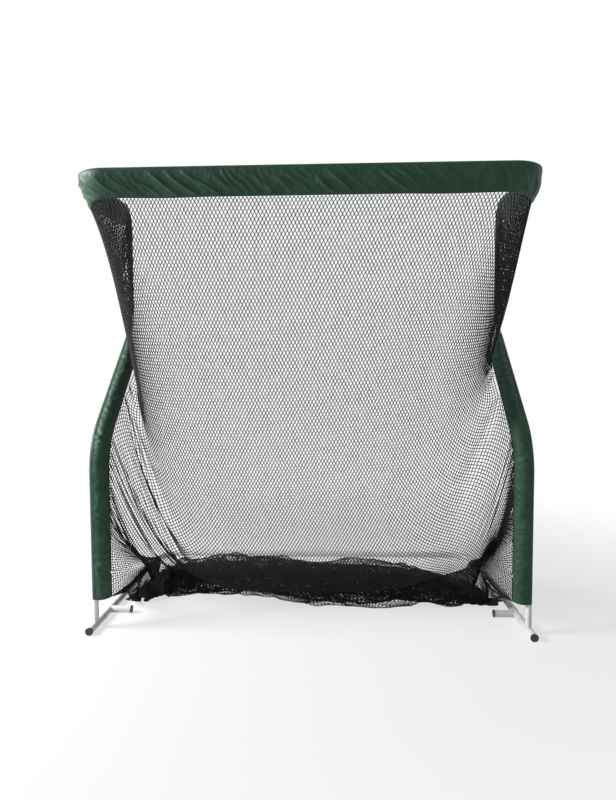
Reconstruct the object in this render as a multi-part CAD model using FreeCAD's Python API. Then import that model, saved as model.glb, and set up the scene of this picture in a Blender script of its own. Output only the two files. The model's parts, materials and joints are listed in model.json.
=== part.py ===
import FreeCAD, Part
import math
import os

from FreeCAD import Vector

# Golf chipping net: a push-fit steel tube frame with a netting target.
# Millimetres. +X right, +Y away from the golfer, +Z up, floor at z = 0.
# The origin is on the floor, midway between the frame's sides, front and back.

# Overall layout
TRACK = 2095.0            # left to right, between the axes of the base rails
BASE_REACH = 1190.0       # face of the front caps to the rear bar's axis
UPRIGHT_SETBACK = 90.0    # face of the front caps to the uprights' axes
STUB_SETBACK = 268.0      # face of the front caps to the stubs' axes
WAIST_SETBACK = 690.0     # face of the front caps to the spines' axes
TOP_OVERHANG = 70.0       # how far the top bar's axis stands in front of the caps
LEAN_START_HEIGHT = 905.0 # where the lines of the upright's two lower runs meet
WAIST_HEIGHT = 1505.0     # where the lines of the upright's two upper runs meet
TOP_BAR_HEIGHT = 2145.0
ARM_RISE = 40.0           # from the top bar's axis back to the spines' axes

# Bends, as radii of the tube's axis
LEAN_BEND = 350.0
WAIST_BEND = 150.0
SHOULDER_BEND = 100.0
TOP_CORNER_BEND = 150.0
REAR_CORNER_BEND = 170.0

# Tubes
FOOT_TUBE_OD = 34.0
UPRIGHT_OD = 28.0
TUBE_WALL = 1.2
SLIP_GAP = 0.3            # radial play of every push fit
BASE_LAP = 95.0           # foot tube inside the rear rail
POST_LAP = 100.0          # post inside the upright
WAIST_LAP = 95.0          # upright inside the spine
ARM_LAP = 90.0            # top bar inside the arm
COUPLER_LENGTH = 180.0
END_PLAY = 0.3            # where one tube's end stands on another piece
STUB_REACH = 117.0        # from the rail's axis to the stub cap's outer face
STUB_TO_RAIL = 8.0        # free foot tube between the stub and the rear rail's mouth
SPINE_MOUTH_RISE = 15.0   # above the top of the waist bend
ARM_MOUTH_RUN = 80.0      # behind the top corner's bend

# Black plastic caps
CAP_SOLE = 0.7            # depth of the flat under each cap
CAP_FLANGE = 6.0
CAP_PLUG = 16.0
CAP_PLUG_WALL = 2.0
CAP_PLAY = 0.15
CAP_CROWN = 2.0

# Green cloth sleeves
CLOTH = 1.2
CLOTH_GAP = 0.3
TOP_VALANCE = 104.0
SIDE_VALANCE = 70.0
SIDE_SLEEVE_FOOT = 146.0
SIDE_SLEEVE_TOP_GAP = 14.0
ARM_SLEEVE_DROP = 75.0
SLEEVE_JOIN = 0.4

# Black netting
NET_THICKNESS = 3.0
STRAND = 5.0
NET_HEM = 12.0
CURTAIN_SIDE_GAP = 12.0   # from the side sleeve's sewn edge to the curtain's
CURTAIN_DIAMOND_W = 132.0
CURTAIN_DIAMOND_H = 192.0
WING_DIAMOND_W = 46.0
WING_DIAMOND_H = 66.0
CURTAIN_FOOT_SETBACK = 620.0
CURTAIN_SAG = 75.0        # how far the curtain hangs in front of a straight line
CURTAIN_REST_GAP = 1.1    # height of the curtain's lower edge above the heap
WING_FRONT_SETBACK = 250.0
WING_FOOT_RISE = 54.0     # from the waist's height to the wing's lowest point
WING_TO_ARM_RUN = 130.0   # of the upper side net in front of the wing
UPPER_SIDE_LEAST = 75.0   # width of the upper side net at its foot
UPPER_SIDE_RISE = 45.0    # of the upper side net's foot towards the curtain
LOWER_SIDE_LEAST = 65.0   # width of the lower side net at its top
LOWER_SIDE_FOOT = 40.0    # above the side sleeve's foot
SLEEVE_TO_SIDE_NET = 22.0 # where the nets stay in front of the sleeve's sewn edge
HEM_GAP = 0.3
HEM_WALL = 1.5

# Cords
TIE_D = 1.1
TIE_GAP = 0.2
TIE_LOOP_SETBACK = 178.0
TIE_TO_SLEEVE = 4.0       # from the side sleeve's wrap to the tie cord
CORNER_TIE_TO_BEND = 8.0  # in front of the rear corner's bend
CORNER_TIE_OPENING = 50.0 # degrees below the rail's middle where the corner tie stops

# Sizes that follow from the ones above
HALF = TRACK / 2
POST_OD = UPRIGHT_OD - 2 * (TUBE_WALL + SLIP_GAP)
RAIL_OD = FOOT_TUBE_OD + 2 * (TUBE_WALL + SLIP_GAP)
TOP_BAR_OD = POST_OD
FLOOR_AXIS = RAIL_OD / 2
CAP_FLANGE_R = FLOOR_AXIS + CAP_SOLE
TOP_SLEEVE_R = TOP_BAR_OD / 2 + CLOTH_GAP + CLOTH
DEPTH = TOP_OVERHANG + TOP_SLEEVE_R + BASE_REACH + RAIL_OD / 2
CAP_Y = -DEPTH / 2 + TOP_OVERHANG + TOP_SLEEVE_R
UPRIGHT_Y = CAP_Y + UPRIGHT_SETBACK
STUB_Y = CAP_Y + STUB_SETBACK
SPINE_Y = CAP_Y + WAIST_SETBACK
TOP_Y = CAP_Y - TOP_OVERHANG
REAR_Y = CAP_Y + BASE_REACH
RAIL_MOUTH_Y = STUB_Y + FOOT_TUBE_OD / 2 + STUB_TO_RAIL
ARM_SLOPE = math.atan2(ARM_RISE, SPINE_Y - TOP_Y)
SHOULDER_Z = TOP_BAR_HEIGHT + ARM_RISE
LEAN = math.atan2(SPINE_Y - UPRIGHT_Y, WAIST_HEIGHT - LEAN_START_HEIGHT)
SPINE_MOUTH_Z = WAIST_HEIGHT + WAIST_BEND * math.tan(LEAN / 2) + SPINE_MOUTH_RISE
ARM_START = TOP_CORNER_BEND + ARM_MOUTH_RUN
UPRIGHT_FOOT_Z = FLOOR_AXIS + FOOT_TUBE_OD / 2 + END_PLAY
SIDE_SLEEVE_R = UPRIGHT_OD / 2 + CLOTH_GAP + CLOTH
CURTAIN_HALF = HALF - SIDE_SLEEVE_R - SIDE_VALANCE - CURTAIN_SIDE_GAP
CURTAIN_FOOT_Y = CAP_Y + CURTAIN_FOOT_SETBACK

# The heap of spare netting on the floor, as sections from left to right. Each row is x as a
# share of the curtain's half width, then front edge, brow, ridge and back edge behind the
# curtain's foot, and the ridge's height. The brow and the back slope are shares of that height.
HEAP_BROW = 0.62
HEAP_BACK = 0.66
HEAP = [
    (-0.985, -60.0, -30.0, 20.0, 80.0, 22.0),
    (-0.905, -75.0, -20.0, 70.0, 180.0, 90.0),
    (-0.780, -20.0, 20.0, 120.0, 250.0, 150.0),
    (-0.630, 0.0, 45.0, 130.0, 270.0, 162.0),
    (-0.470, -10.0, 20.0, 125.0, 280.0, 152.0),
    (-0.315, -45.0, 0.0, 115.0, 270.0, 160.0),
    (-0.160, -130.0, -60.0, 100.0, 260.0, 148.0),
    (0.0, -165.0, -90.0, 80.0, 250.0, 140.0),
    (0.170, -170.0, -100.0, 70.0, 240.0, 146.0),
    (0.340, -165.0, -95.0, 70.0, 240.0, 138.0),
    (0.505, -150.0, -100.0, 40.0, 210.0, 118.0),
    (0.675, -165.0, -120.0, 0.0, 160.0, 88.0),
    (0.830, -145.0, -110.0, -40.0, 80.0, 52.0),
    (0.970, -120.0, -100.0, -60.0, 0.0, 20.0),
]


def path(points, radii):
    """A wire of straight runs through points, joined by tangent arcs."""
    edges = []
    start = points[0]
    for before, corner, after, radius in zip(points, points[1:], points[2:], radii):
        into = (corner - before).normalize()
        out = (after - corner).normalize()
        turn = into.getAngle(out)
        reach = radius * math.tan(turn / 2)
        first = corner - into * reach
        last = corner + out * reach
        inward = (out - into).normalize()
        middle = corner + inward * (radius / math.cos(turn / 2) - radius)
        edges.append(Part.LineSegment(start, first).toShape())
        edges.append(Part.Arc(first, middle, last).toShape())
        start = last
    edges.append(Part.LineSegment(start, points[-1]).toShape())
    return Part.Wire(edges)


def run_start(wire):
    """The first point of a path and the direction it leaves in."""
    edge = wire.OrderedEdges[0]
    return edge.valueAt(edge.FirstParameter), edge.tangentAt(edge.FirstParameter)


def rod(wire, radius):
    """A round bar along a path."""
    at, along = run_start(wire)
    ring = Part.Wire([Part.Circle(at, along, radius).toShape()])
    return wire.makePipeShell([ring], True, False)


def tube(wire, outer_d, wall):
    """A round tube along a path."""
    return rod(wire, outer_d / 2).cut(rod(wire, outer_d / 2 - wall))


def ribbon(wire, side, reach, thickness):
    """A strip along a path, standing out from its axis to one side."""
    at, along = run_start(wire)
    across = along.cross(side).normalize() * (thickness / 2)
    corners = [at + across, at + across + side * reach, at - across + side * reach, at - across]
    outline = Part.makePolygon(corners + [corners[0]])
    return wire.makePipeShell([outline], True, False)


def sleeve(wire, inner_r, side, reach):
    """Cloth wrapped round a tube, with its two layers sewn together on one side."""
    wrap = rod(wire, inner_r + CLOTH).fuse(ribbon(wire, side, inner_r + CLOTH + reach, 2 * CLOTH))
    return wrap.cut(rod(wire, inner_r)).removeSplitter()


def cylinder(at, along, radius, length):
    """A round bar from a point, in a direction."""
    return Part.makeCylinder(radius, length, at, along)


def mirrored(shape):
    """The same piece for the other side of the frame."""
    return shape.mirror(Vector(0, 0, 0), Vector(1, 0, 0))


def tilted(shape):
    """Turns what lies level at the top bar onto the slope of the arms."""
    turned = shape.copy()
    turned.rotate(Vector(0, TOP_Y, TOP_BAR_HEIGHT), Vector(1, 0, 0), math.degrees(ARM_SLOPE))
    return turned


def arm_height(y):
    """Height of the arm's axis at a distance from front to back."""
    return TOP_BAR_HEIGHT + (y - TOP_Y) * math.tan(ARM_SLOPE)


def upright_y(z):
    """Front to back place of the upright's axis lines at a height."""
    return UPRIGHT_Y + max(0.0, min(z, WAIST_HEIGHT) - LEAN_START_HEIGHT) * math.tan(LEAN)


def netting(outline, width, height, origin, right, up, depth):
    """A panel with diamond gaps; outline is in (right, up) measures from origin."""
    def spot(a, b):
        return origin + right * a + up * b

    def closed(points):
        return Part.makePolygon([spot(a, b) for a, b in points + [points[0]]])

    border = closed(outline)
    plain = Part.Face(border)
    low_a, high_a = min(a for a, b in outline), max(a for a, b in outline)
    low_b, high_b = min(b for a, b in outline), max(b for a, b in outline)
    half_w = width / 2 - STRAND / 2
    half_h = height / 2 - STRAND / 2 * height / width
    gaps = []
    rows = int((high_b - low_b) / (height / 2)) + 1
    columns = int((high_a - low_a) / width) + 2
    middle = (low_a + high_a) / 2
    for row in range(rows):
        b = high_b - NET_HEM - height / 2 - row * height / 2
        shift = (row % 2) * width / 2
        for column in range(-columns, columns + 1):
            a = middle + column * width + shift
            tips = [(a - half_w, b), (a, b - half_h), (a + half_w, b), (a, b + half_h)]
            spread = [(a - half_w - NET_HEM, b), (a, b - half_h - NET_HEM)]
            spread += [(a + half_w + NET_HEM, b), (a, b + half_h + NET_HEM)]
            if all(plain.isInside(spot(p, q), 0.01, True) for p, q in spread):
                gaps.append(closed(tips))
    sheet = Part.makeFace([border] + gaps, "Part::FaceMakerBullseye")
    return sheet.extrude(depth)


def draped(near, far, thickness):
    """A cloth strip between two lines of points, thick along X."""
    faces = []
    offset = Vector(thickness, 0, 0)
    front = []
    for (a, b), (c, d) in zip(zip(near, far), zip(near[1:], far[1:])):
        front.append((a, b, c))
        front.append((b, d, c))
    for a, b, c in front:
        faces.append(Part.Face(Part.makePolygon([a, b, c, a])))
        faces.append(Part.Face(Part.makePolygon([a + offset, b + offset, c + offset, a + offset])))
    rim = near + far[::-1]
    for a, b in zip(rim, rim[1:] + rim[:1]):
        faces.append(Part.Face(Part.makePolygon([a, b, b + offset, a + offset, a])))
    solid = Part.Solid(Part.makeShell(faces))
    if solid.Volume < 0:
        solid.reverse()
    return solid


nodes = {}

# Base: feet
foot_end_y = RAIL_MOUTH_Y + BASE_LAP
foot_front = Vector(-HALF, CAP_Y + CAP_FLANGE, FLOOR_AXIS)
foot_back = Vector(-HALF, foot_end_y, FLOOR_AXIS)
foot_axis = Part.Wire([Part.LineSegment(foot_front, foot_back).toShape()])
foot_core = cylinder(foot_front, Vector(0, 1, 0), FOOT_TUBE_OD / 2, foot_end_y - foot_front.y)
nodes["left_foot_tube"] = tube(foot_axis, FOOT_TUBE_OD, TUBE_WALL)

post_base = Vector(-HALF, UPRIGHT_Y, FLOOR_AXIS)
post_top = Vector(-HALF, UPRIGHT_Y, UPRIGHT_FOOT_Z + POST_LAP)
post_axis = Part.Wire([Part.LineSegment(post_base, post_top).toShape()])
nodes["left_post"] = tube(post_axis, POST_OD, TUBE_WALL).cut(foot_core)

stub_inner = Vector(-HALF, STUB_Y, FLOOR_AXIS)
stub_outer = Vector(-HALF + STUB_REACH - CAP_FLANGE, STUB_Y, FLOOR_AXIS)
stub_axis = Part.Wire([Part.LineSegment(stub_inner, stub_outer).toShape()])
nodes["left_stub"] = tube(stub_axis, FOOT_TUBE_OD, TUBE_WALL).cut(foot_core)


def cap(face, inward):
    """A plastic end cap: a crowned flange with a flat sole, and a plug in the tube."""
    seat = face + inward * CAP_FLANGE
    flange = cylinder(face, inward, CAP_FLANGE_R, CAP_FLANGE)
    rim = [e for e in flange.Edges if e.CenterOfMass.isEqual(face, 0.01) and len(e.Vertexes) == 1]
    flange = flange.makeFillet(CAP_CROWN, rim)
    plug_r = FOOT_TUBE_OD / 2 - TUBE_WALL - CAP_PLAY
    plug = cylinder(seat, inward, plug_r, CAP_PLUG).cut(cylinder(seat, inward, plug_r - CAP_PLUG_WALL, CAP_PLUG))
    below = Part.makeBox(8 * CAP_FLANGE_R, 8 * CAP_FLANGE_R, 4 * CAP_FLANGE_R)
    below.translate(Vector(face.x - 4 * CAP_FLANGE_R, face.y - 4 * CAP_FLANGE_R, -4 * CAP_FLANGE_R))
    return flange.fuse(plug).cut(below)


nodes["left_front_cap"] = cap(Vector(-HALF, CAP_Y, FLOOR_AXIS), Vector(0, 1, 0))
nodes["left_stub_cap"] = cap(Vector(-HALF + STUB_REACH, STUB_Y, FLOOR_AXIS), Vector(-1, 0, 0))

# Base: rear hoop, in two halves on a coupler
rail_mouth = Vector(-HALF, RAIL_MOUTH_Y, FLOOR_AXIS)
rear_corner = Vector(-HALF, REAR_Y, FLOOR_AXIS)
rear_middle = Vector(0, REAR_Y, FLOOR_AXIS)
rear_axis = path([rail_mouth, rear_corner, rear_middle], [REAR_CORNER_BEND])
nodes["left_rear_rail"] = tube(rear_axis, RAIL_OD, TUBE_WALL)
rear_coupler_d = RAIL_OD - 2 * (TUBE_WALL + SLIP_GAP)
coupler_left = Vector(-COUPLER_LENGTH / 2, REAR_Y, FLOOR_AXIS)
coupler_right = Vector(COUPLER_LENGTH / 2, REAR_Y, FLOOR_AXIS)
coupler_axis = Part.Wire([Part.LineSegment(coupler_left, coupler_right).toShape()])
nodes["rear_bar_coupler"] = tube(coupler_axis, rear_coupler_d, TUBE_WALL)

# Uprights: a vertical leg, a lean to the waist, and a reduced spigot for the spine
upright_foot = Vector(-HALF, UPRIGHT_Y, UPRIGHT_FOOT_Z)
lean_corner = Vector(-HALF, UPRIGHT_Y, LEAN_START_HEIGHT)
waist_corner = Vector(-HALF, SPINE_Y, WAIST_HEIGHT)
spigot_base = Vector(-HALF, SPINE_Y, SPINE_MOUTH_Z - END_PLAY)
spigot_top = Vector(-HALF, SPINE_Y, SPINE_MOUTH_Z + WAIST_LAP)
upright_axis = path([upright_foot, lean_corner, waist_corner, spigot_base], [LEAN_BEND, WAIST_BEND])
spigot_axis = Part.Wire([Part.LineSegment(spigot_base, spigot_top).toShape()])
shoulder_low = spigot_base - Vector(0, 0, TUBE_WALL)
shoulder = cylinder(shoulder_low, Vector(0, 0, 1), UPRIGHT_OD / 2 - TUBE_WALL / 2, TUBE_WALL)
shoulder = shoulder.cut(cylinder(shoulder_low, Vector(0, 0, 1), POST_OD / 2 - TUBE_WALL, TUBE_WALL))
upright = tube(upright_axis, UPRIGHT_OD, TUBE_WALL).fuse(tube(spigot_axis, POST_OD, TUBE_WALL))
nodes["left_upright"] = upright.fuse(shoulder).removeSplitter()

# Canopy: spines with their arms, and the top bar in two halves on a coupler
spine_mouth = Vector(-HALF, SPINE_Y, SPINE_MOUTH_Z)
shoulder_corner = Vector(-HALF, SPINE_Y, SHOULDER_Z)
arm_mouth_y = TOP_Y + ARM_START * math.cos(ARM_SLOPE)
arm_mouth = Vector(-HALF, arm_mouth_y, arm_height(arm_mouth_y))
spine_axis = path([spine_mouth, shoulder_corner, arm_mouth], [SHOULDER_BEND])
nodes["left_spine_arm"] = tube(spine_axis, UPRIGHT_OD, TUBE_WALL)

top_middle = Vector(0, TOP_Y, TOP_BAR_HEIGHT)
top_corner = Vector(-HALF, TOP_Y, TOP_BAR_HEIGHT)
top_tail = Vector(-HALF, TOP_Y + ARM_START + ARM_LAP, TOP_BAR_HEIGHT)
top_axis = path([top_middle, top_corner, top_tail], [TOP_CORNER_BEND])
nodes["left_top_bar"] = tilted(tube(top_axis, TOP_BAR_OD, TUBE_WALL))
top_coupler_d = TOP_BAR_OD - 2 * (TUBE_WALL + SLIP_GAP)
inner_left = Vector(-COUPLER_LENGTH / 2, TOP_Y, TOP_BAR_HEIGHT)
inner_right = Vector(COUPLER_LENGTH / 2, TOP_Y, TOP_BAR_HEIGHT)
inner_axis = Part.Wire([Part.LineSegment(inner_left, inner_right).toShape()])
nodes["top_bar_coupler"] = tube(inner_axis, top_coupler_d, TUBE_WALL)

# Green sleeves
sleeve_tail = Vector(-HALF, TOP_Y + ARM_START - SLEEVE_JOIN, TOP_BAR_HEIGHT)
sleeve_points = [sleeve_tail, top_corner, Vector(HALF, TOP_Y, TOP_BAR_HEIGHT)]
sleeve_points.append(Vector(HALF, sleeve_tail.y, TOP_BAR_HEIGHT))
sleeve_axis = path(sleeve_points, [TOP_CORNER_BEND, TOP_CORNER_BEND])
level_sleeve = sleeve(sleeve_axis, TOP_BAR_OD / 2 + CLOTH_GAP, Vector(0, 0, -1), TOP_VALANCE)
nodes["top_sleeve"] = tilted(level_sleeve)

valance_reach = TOP_SLEEVE_R + TOP_VALANCE
arm_sleeve_front = arm_mouth
arm_sleeve_foot = Vector(-HALF, SPINE_Y, SHOULDER_Z - SHOULDER_BEND - ARM_SLEEVE_DROP)
arm_sleeve_axis = path([arm_sleeve_front, shoulder_corner, arm_sleeve_foot], [SHOULDER_BEND])
arm_wrap_r = UPRIGHT_OD / 2 + CLOTH_GAP
valance_end = Vector(-HALF, SPINE_Y - SHOULDER_BEND, arm_height(SPINE_Y - SHOULDER_BEND))
arm_run = (valance_end - arm_sleeve_front).normalize()
arm_down = Vector(0, arm_run.z, -arm_run.y)
valance_axis = Part.Wire([Part.LineSegment(arm_sleeve_front, valance_end).toShape()])
valance = ribbon(valance_axis, arm_down, valance_reach, 2 * CLOTH)
arm_sleeve = rod(arm_sleeve_axis, arm_wrap_r + CLOTH).fuse(valance).cut(rod(arm_sleeve_axis, arm_wrap_r))
nodes["left_arm_sleeve"] = arm_sleeve.removeSplitter()

side_sleeve_foot = Vector(-HALF, UPRIGHT_Y, SIDE_SLEEVE_FOOT)
waist_reach = WAIST_BEND * math.tan(LEAN / 2) + SIDE_SLEEVE_TOP_GAP
lean_run = (waist_corner - lean_corner).normalize()
side_sleeve_top = waist_corner - lean_run * waist_reach
side_sleeve_axis = path([side_sleeve_foot, lean_corner, side_sleeve_top], [LEAN_BEND])
side_wrap_r = UPRIGHT_OD / 2 + CLOTH_GAP
nodes["left_side_sleeve"] = sleeve(side_sleeve_axis, side_wrap_r, Vector(1, 0, 0), SIDE_VALANCE)

# Black hem round the spine, from the arm's sleeve down to the spine's mouth
hem_low = Vector(-HALF, SPINE_Y, SPINE_MOUTH_Z + END_PLAY)
hem_length = arm_sleeve_foot.z - HEM_GAP - hem_low.z
hem_r = UPRIGHT_OD / 2 + HEM_GAP
hem = cylinder(hem_low, Vector(0, 0, 1), hem_r + HEM_WALL, hem_length)
nodes["left_spine_hem"] = hem.cut(cylinder(hem_low, Vector(0, 0, 1), hem_r, hem_length))

# Netting: the heap left over on the floor
heap_profiles = []
for share, front, brow, ridge, back, height in HEAP:
    profile = [(front, 0.0), (brow, height * HEAP_BROW), (ridge, height)]
    profile += [((ridge + back) / 2, height * HEAP_BACK), (back, 0.0)]
    heap_profiles.append((share * CURTAIN_HALF, [(CURTAIN_FOOT_Y + y, z) for y, z in profile]))
sections = []
for x, profile in heap_profiles:
    spots = [Vector(x, y, z) for y, z in profile]
    sections.append(Part.makePolygon(spots + [spots[0]]))
nodes["net_heap"] = Part.makeLoft(sections, True, True)


def heap_height(profile, y):
    """Height of the heap's top at a place from front to back."""
    for (y0, z0), (y1, z1) in zip(profile, profile[1:]):
        if y0 <= y <= y1:
            return z0 + (z1 - z0) * (y - y0) / (y1 - y0)
    return 0.0


# Netting: the curtain hangs in an arc from the top sleeve back to the heap
curtain_top_z = TOP_BAR_HEIGHT - valance_reach * math.cos(ARM_SLOPE) - HEM_GAP - CLOTH
curtain_top_y = TOP_Y + valance_reach * math.sin(ARM_SLOPE)
fall = Vector(0, CURTAIN_FOOT_Y - curtain_top_y, -curtain_top_z)
to_front = Vector(0, fall.z, -fall.y).normalize()
curtain_r = (fall.Length ** 2 / 4 + CURTAIN_SAG ** 2) / (2 * CURTAIN_SAG)
curtain_middle = Vector(0, curtain_top_y, curtain_top_z) + fall / 2
curtain_centre = curtain_middle - to_front * (curtain_r - CURTAIN_SAG)


def curtain_y(z):
    """Front to back place of the curtain at a height."""
    return curtain_centre.y - math.sqrt(curtain_r ** 2 - (z - curtain_centre.z) ** 2)


def curtain_foot(profile):
    """Height of the curtain's lower edge, just above the heap."""
    z = max(height for y, height in profile) + CURTAIN_REST_GAP
    below = 0.0
    while z > below + CURTAIN_REST_GAP:
        z -= FOOT_STEP
        back = curtain_y(z)
        below = max(heap_height(profile, back), heap_height(profile, back - 1.5 * NET_THICKNESS))
    return z


def curtain_arc(radius):
    """The curtain's profile at a distance from its arc's centre, past both its ends."""
    spots = []
    for z in (curtain_top_z + NET_HEM, curtain_middle.z, -NET_HEM):
        at = Vector(0, curtain_y(z), z) - curtain_centre
        spots.append(curtain_centre + at.normalize() * radius - Vector(CURTAIN_HALF, 0, 0))
    return Part.Arc(*spots).toShape()


FOOT_STEP = 0.1
FOOT_PARTS = 8            # places of the lower edge between two sections of the heap
rest = []
for (x0, low), (x1, high) in zip(heap_profiles, heap_profiles[1:]):
    for part in range(FOOT_PARTS):
        k = part / FOOT_PARTS
        between = [(y0 + (y1 - y0) * k, z0 + (z1 - z0) * k) for (y0, z0), (y1, z1) in zip(low, high)]
        rest.append((x0 + (x1 - x0) * k, curtain_foot(between)))
rest = [(-CURTAIN_HALF, rest[0][1])] + rest[1:] + [(CURTAIN_HALF, rest[-1][1])]
curtain_outline = rest + [(CURTAIN_HALF, curtain_top_z), (-CURTAIN_HALF, curtain_top_z)]
curtain_front = Vector(0, CAP_Y - TOP_OVERHANG - CURTAIN_SAG, 0)
curtain_depth = Vector(0, 2 * CURTAIN_FOOT_SETBACK, 0)
seen_from_front = netting(
    curtain_outline,
    CURTAIN_DIAMOND_W,
    CURTAIN_DIAMOND_H,
    curtain_front,
    Vector(1, 0, 0),
    Vector(0, 0, 1),
    curtain_depth,
)
back_arc, front_arc = curtain_arc(curtain_r), curtain_arc(curtain_r + NET_THICKNESS)
arc_ends = [Part.LineSegment(back_arc.Vertexes[k].Point, front_arc.Vertexes[k].Point) for k in (0, 1)]
arc_outline = Part.Wire(Part.__sortEdges__([back_arc, front_arc] + [end.toShape() for end in arc_ends]))
curved_sheet = Part.Face(arc_outline).extrude(Vector(2 * CURTAIN_HALF, 0, 0))
nodes["net_curtain"] = curved_sheet.common(seen_from_front)

# Netting: the wing fills the corner between arm and spine, to its free front edge.
# Each pair is a share of the way from the hem's front to the spine, and one of its fall.
WING_HEM = [
    (0.0, 0.02),
    (0.12, 0.09),
    (0.30, 0.22),
    (0.48, 0.36),
    (0.66, 0.51),
    (0.80, 0.68),
    (0.92, 0.85),
    (1.0, 1.0),
]
wing_front = CAP_Y + WING_FRONT_SETBACK
wing_back = SPINE_Y - hem_r - HEM_WALL - HEM_GAP


def valance_bottom(y):
    """Height of the arm valance's lower edge."""
    return arm_height(y) - valance_reach / math.cos(ARM_SLOPE) - HEM_GAP


wing_level = valance_bottom(wing_front)
wing_fall = wing_level - WAIST_HEIGHT - WING_FOOT_RISE
wing_outline = []
for back_share, fall_share in WING_HEM:
    y = wing_front + back_share * (wing_back - wing_front)
    wing_outline.append((y, wing_level - fall_share * wing_fall))
wing_outline += [(wing_back, valance_bottom(wing_back)), (wing_front, wing_level)]
nodes["left_net_wing"] = netting(
    wing_outline,
    WING_DIAMOND_W,
    WING_DIAMOND_H,
    Vector(-HALF - NET_THICKNESS / 2, 0, 0),
    Vector(0, 1, 0),
    Vector(0, 0, 1),
    Vector(NET_THICKNESS, 0, 0),
)

def upper_side_width(z):
    """Width of the upper side net at a height, between the side sleeve and the curtain."""
    return upright_y(z) - SLEEVE_TO_SIDE_NET - curtain_y(z + UPPER_SIDE_RISE)


# Netting: side strips join the curtain's side edge to the wing's hem and the side sleeve
strip_x = -CURTAIN_HALF - NET_THICKNESS - HEM_GAP
wing_side_x = -HALF + NET_THICKNESS
sleeve_edge_x = -HALF + SIDE_SLEEVE_R + SIDE_VALANCE + HEM_GAP
hem_points = [(wing_front - WING_TO_ARM_RUN, wing_level - HEM_GAP)]
hem_points += [wing_outline[i] for i in (1, 3, 4, 5, 6)]
lower_top = LEAN_START_HEIGHT
while curtain_y(lower_top) - upright_y(lower_top) > LOWER_SIDE_LEAST:
    lower_top += 1.0
upper_foot = lower_top
while upper_side_width(upper_foot) < UPPER_SIDE_LEAST:
    upper_foot += 1.0
upper_run = curtain_top_z - NET_HEM - upper_foot - UPPER_SIDE_RISE
sleeve_top_z = WAIST_HEIGHT - SLEEVE_TO_SIDE_NET
near_upper, far_upper = [], []
for k, share in enumerate((0.0, 0.07, 0.18, 0.30, 0.42, 0.54, 0.65, 0.77, 0.89, 1.0)):
    z = curtain_top_z - NET_HEM - share * upper_run
    near_upper.append(Vector(strip_x, curtain_y(z), z))
    if k < len(hem_points):
        y, q = hem_points[k]
        far_upper.append(Vector(wing_side_x, y, q))
    else:
        down = (k - len(hem_points)) / 3
        q = sleeve_top_z - down * (sleeve_top_z - upper_foot)
        far_upper.append(Vector(sleeve_edge_x, upright_y(q) - SLEEVE_TO_SIDE_NET, q))
nodes["left_upper_side_net"] = draped(near_upper, far_upper, NET_THICKNESS)

lower_foot = SIDE_SLEEVE_FOOT + LOWER_SIDE_FOOT
near_lower, far_lower = [], []
for share in (0.0, 0.1, 0.2, 0.35, 0.5, 0.65, 0.82, 1.0):
    z = lower_top + share * (lower_foot - lower_top)
    near_lower.append(Vector(strip_x, curtain_y(z), z))
    far_lower.append(Vector(sleeve_edge_x, upright_y(z), z))
nodes["left_lower_side_net"] = draped(near_lower, far_lower, NET_THICKNESS)

# Netting: the lower corner runs back to a tie on the rear rail
corner_top = lower_foot - HEM_GAP
corner_tie_y = REAR_Y - REAR_CORNER_BEND - CORNER_TIE_TO_BEND
corner_tie_r = RAIL_OD / 2 + TIE_GAP + TIE_D / 2
corner_knot_x = -HALF + corner_tie_r + TIE_D / 2 + HEM_GAP
corner_net = Part.makePolygon(
    [
        Vector(sleeve_edge_x, UPRIGHT_Y + SLEEVE_TO_SIDE_NET, corner_top),
        Vector(sleeve_edge_x, curtain_y(corner_top), corner_top),
        Vector(corner_knot_x, corner_tie_y, 2 * FLOOR_AXIS),
        Vector(sleeve_edge_x, UPRIGHT_Y + SLEEVE_TO_SIDE_NET, corner_top),
    ]
)
nodes["left_net_corner"] = Part.Face(corner_net).extrude(Vector(NET_THICKNESS, 0, 0))

# Tie cords: a loop round the rear rail that stops short of the floor
tie_middle = Vector(-HALF, corner_tie_y, FLOOR_AXIS)
tie_opening = math.radians(CORNER_TIE_OPENING)
low_side = Vector(math.cos(tie_opening), 0, -math.sin(tie_opening)) * corner_tie_r
far_side = Vector(-low_side.x, 0, low_side.z)
over = Part.Arc(tie_middle + low_side, tie_middle + Vector(0, 0, corner_tie_r), tie_middle + far_side)
nodes["left_corner_tie"] = rod(Part.Wire([over.toShape()]), TIE_D / 2)

# Tie cords: from each side sleeve's lower edge to a loop round the foot tube
tie_loop_at = Vector(-HALF, CAP_Y + TIE_LOOP_SETBACK, FLOOR_AXIS)
tie_loop_r = FOOT_TUBE_OD / 2 + TIE_GAP + TIE_D / 2
nodes["left_tie_loop"] = Part.makeTorus(tie_loop_r, TIE_D / 2, tie_loop_at, Vector(0, 1, 0))
tie_top = Vector(-HALF + SIDE_SLEEVE_R + TIE_TO_SLEEVE, UPRIGHT_Y, SIDE_SLEEVE_FOOT - TIE_GAP - TIE_D)
tie_foot = tie_loop_at + Vector(0, 0, tie_loop_r + TIE_D + TIE_GAP)
tie_run = tie_foot - tie_top
nodes["left_tie_cord"] = cylinder(tie_top, tie_run, TIE_D / 2, tie_run.Length)

# The right side mirrors the left
for name in [n for n in nodes if n.startswith("left_")]:
    nodes["right_" + name[5:]] = mirrored(nodes[name])

os.makedirs("parts", exist_ok=True)
for name, shape in nodes.items():
    solid = shape.Solids[0] if len(shape.Solids) == 1 else Part.makeCompound(shape.Solids)
    print(name, len(shape.Solids), solid.isValid(), round(solid.Volume / 1000, 2))
    solid.exportStep("parts/" + name + ".step")
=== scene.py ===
"""A free-standing golf chipping net: a push-fit tube frame, thin nylon sleeves and black netting.

Lengths are in metres. +X is to the right seen by the golfer, +Y away from the golfer, +Z up.
"""

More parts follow.
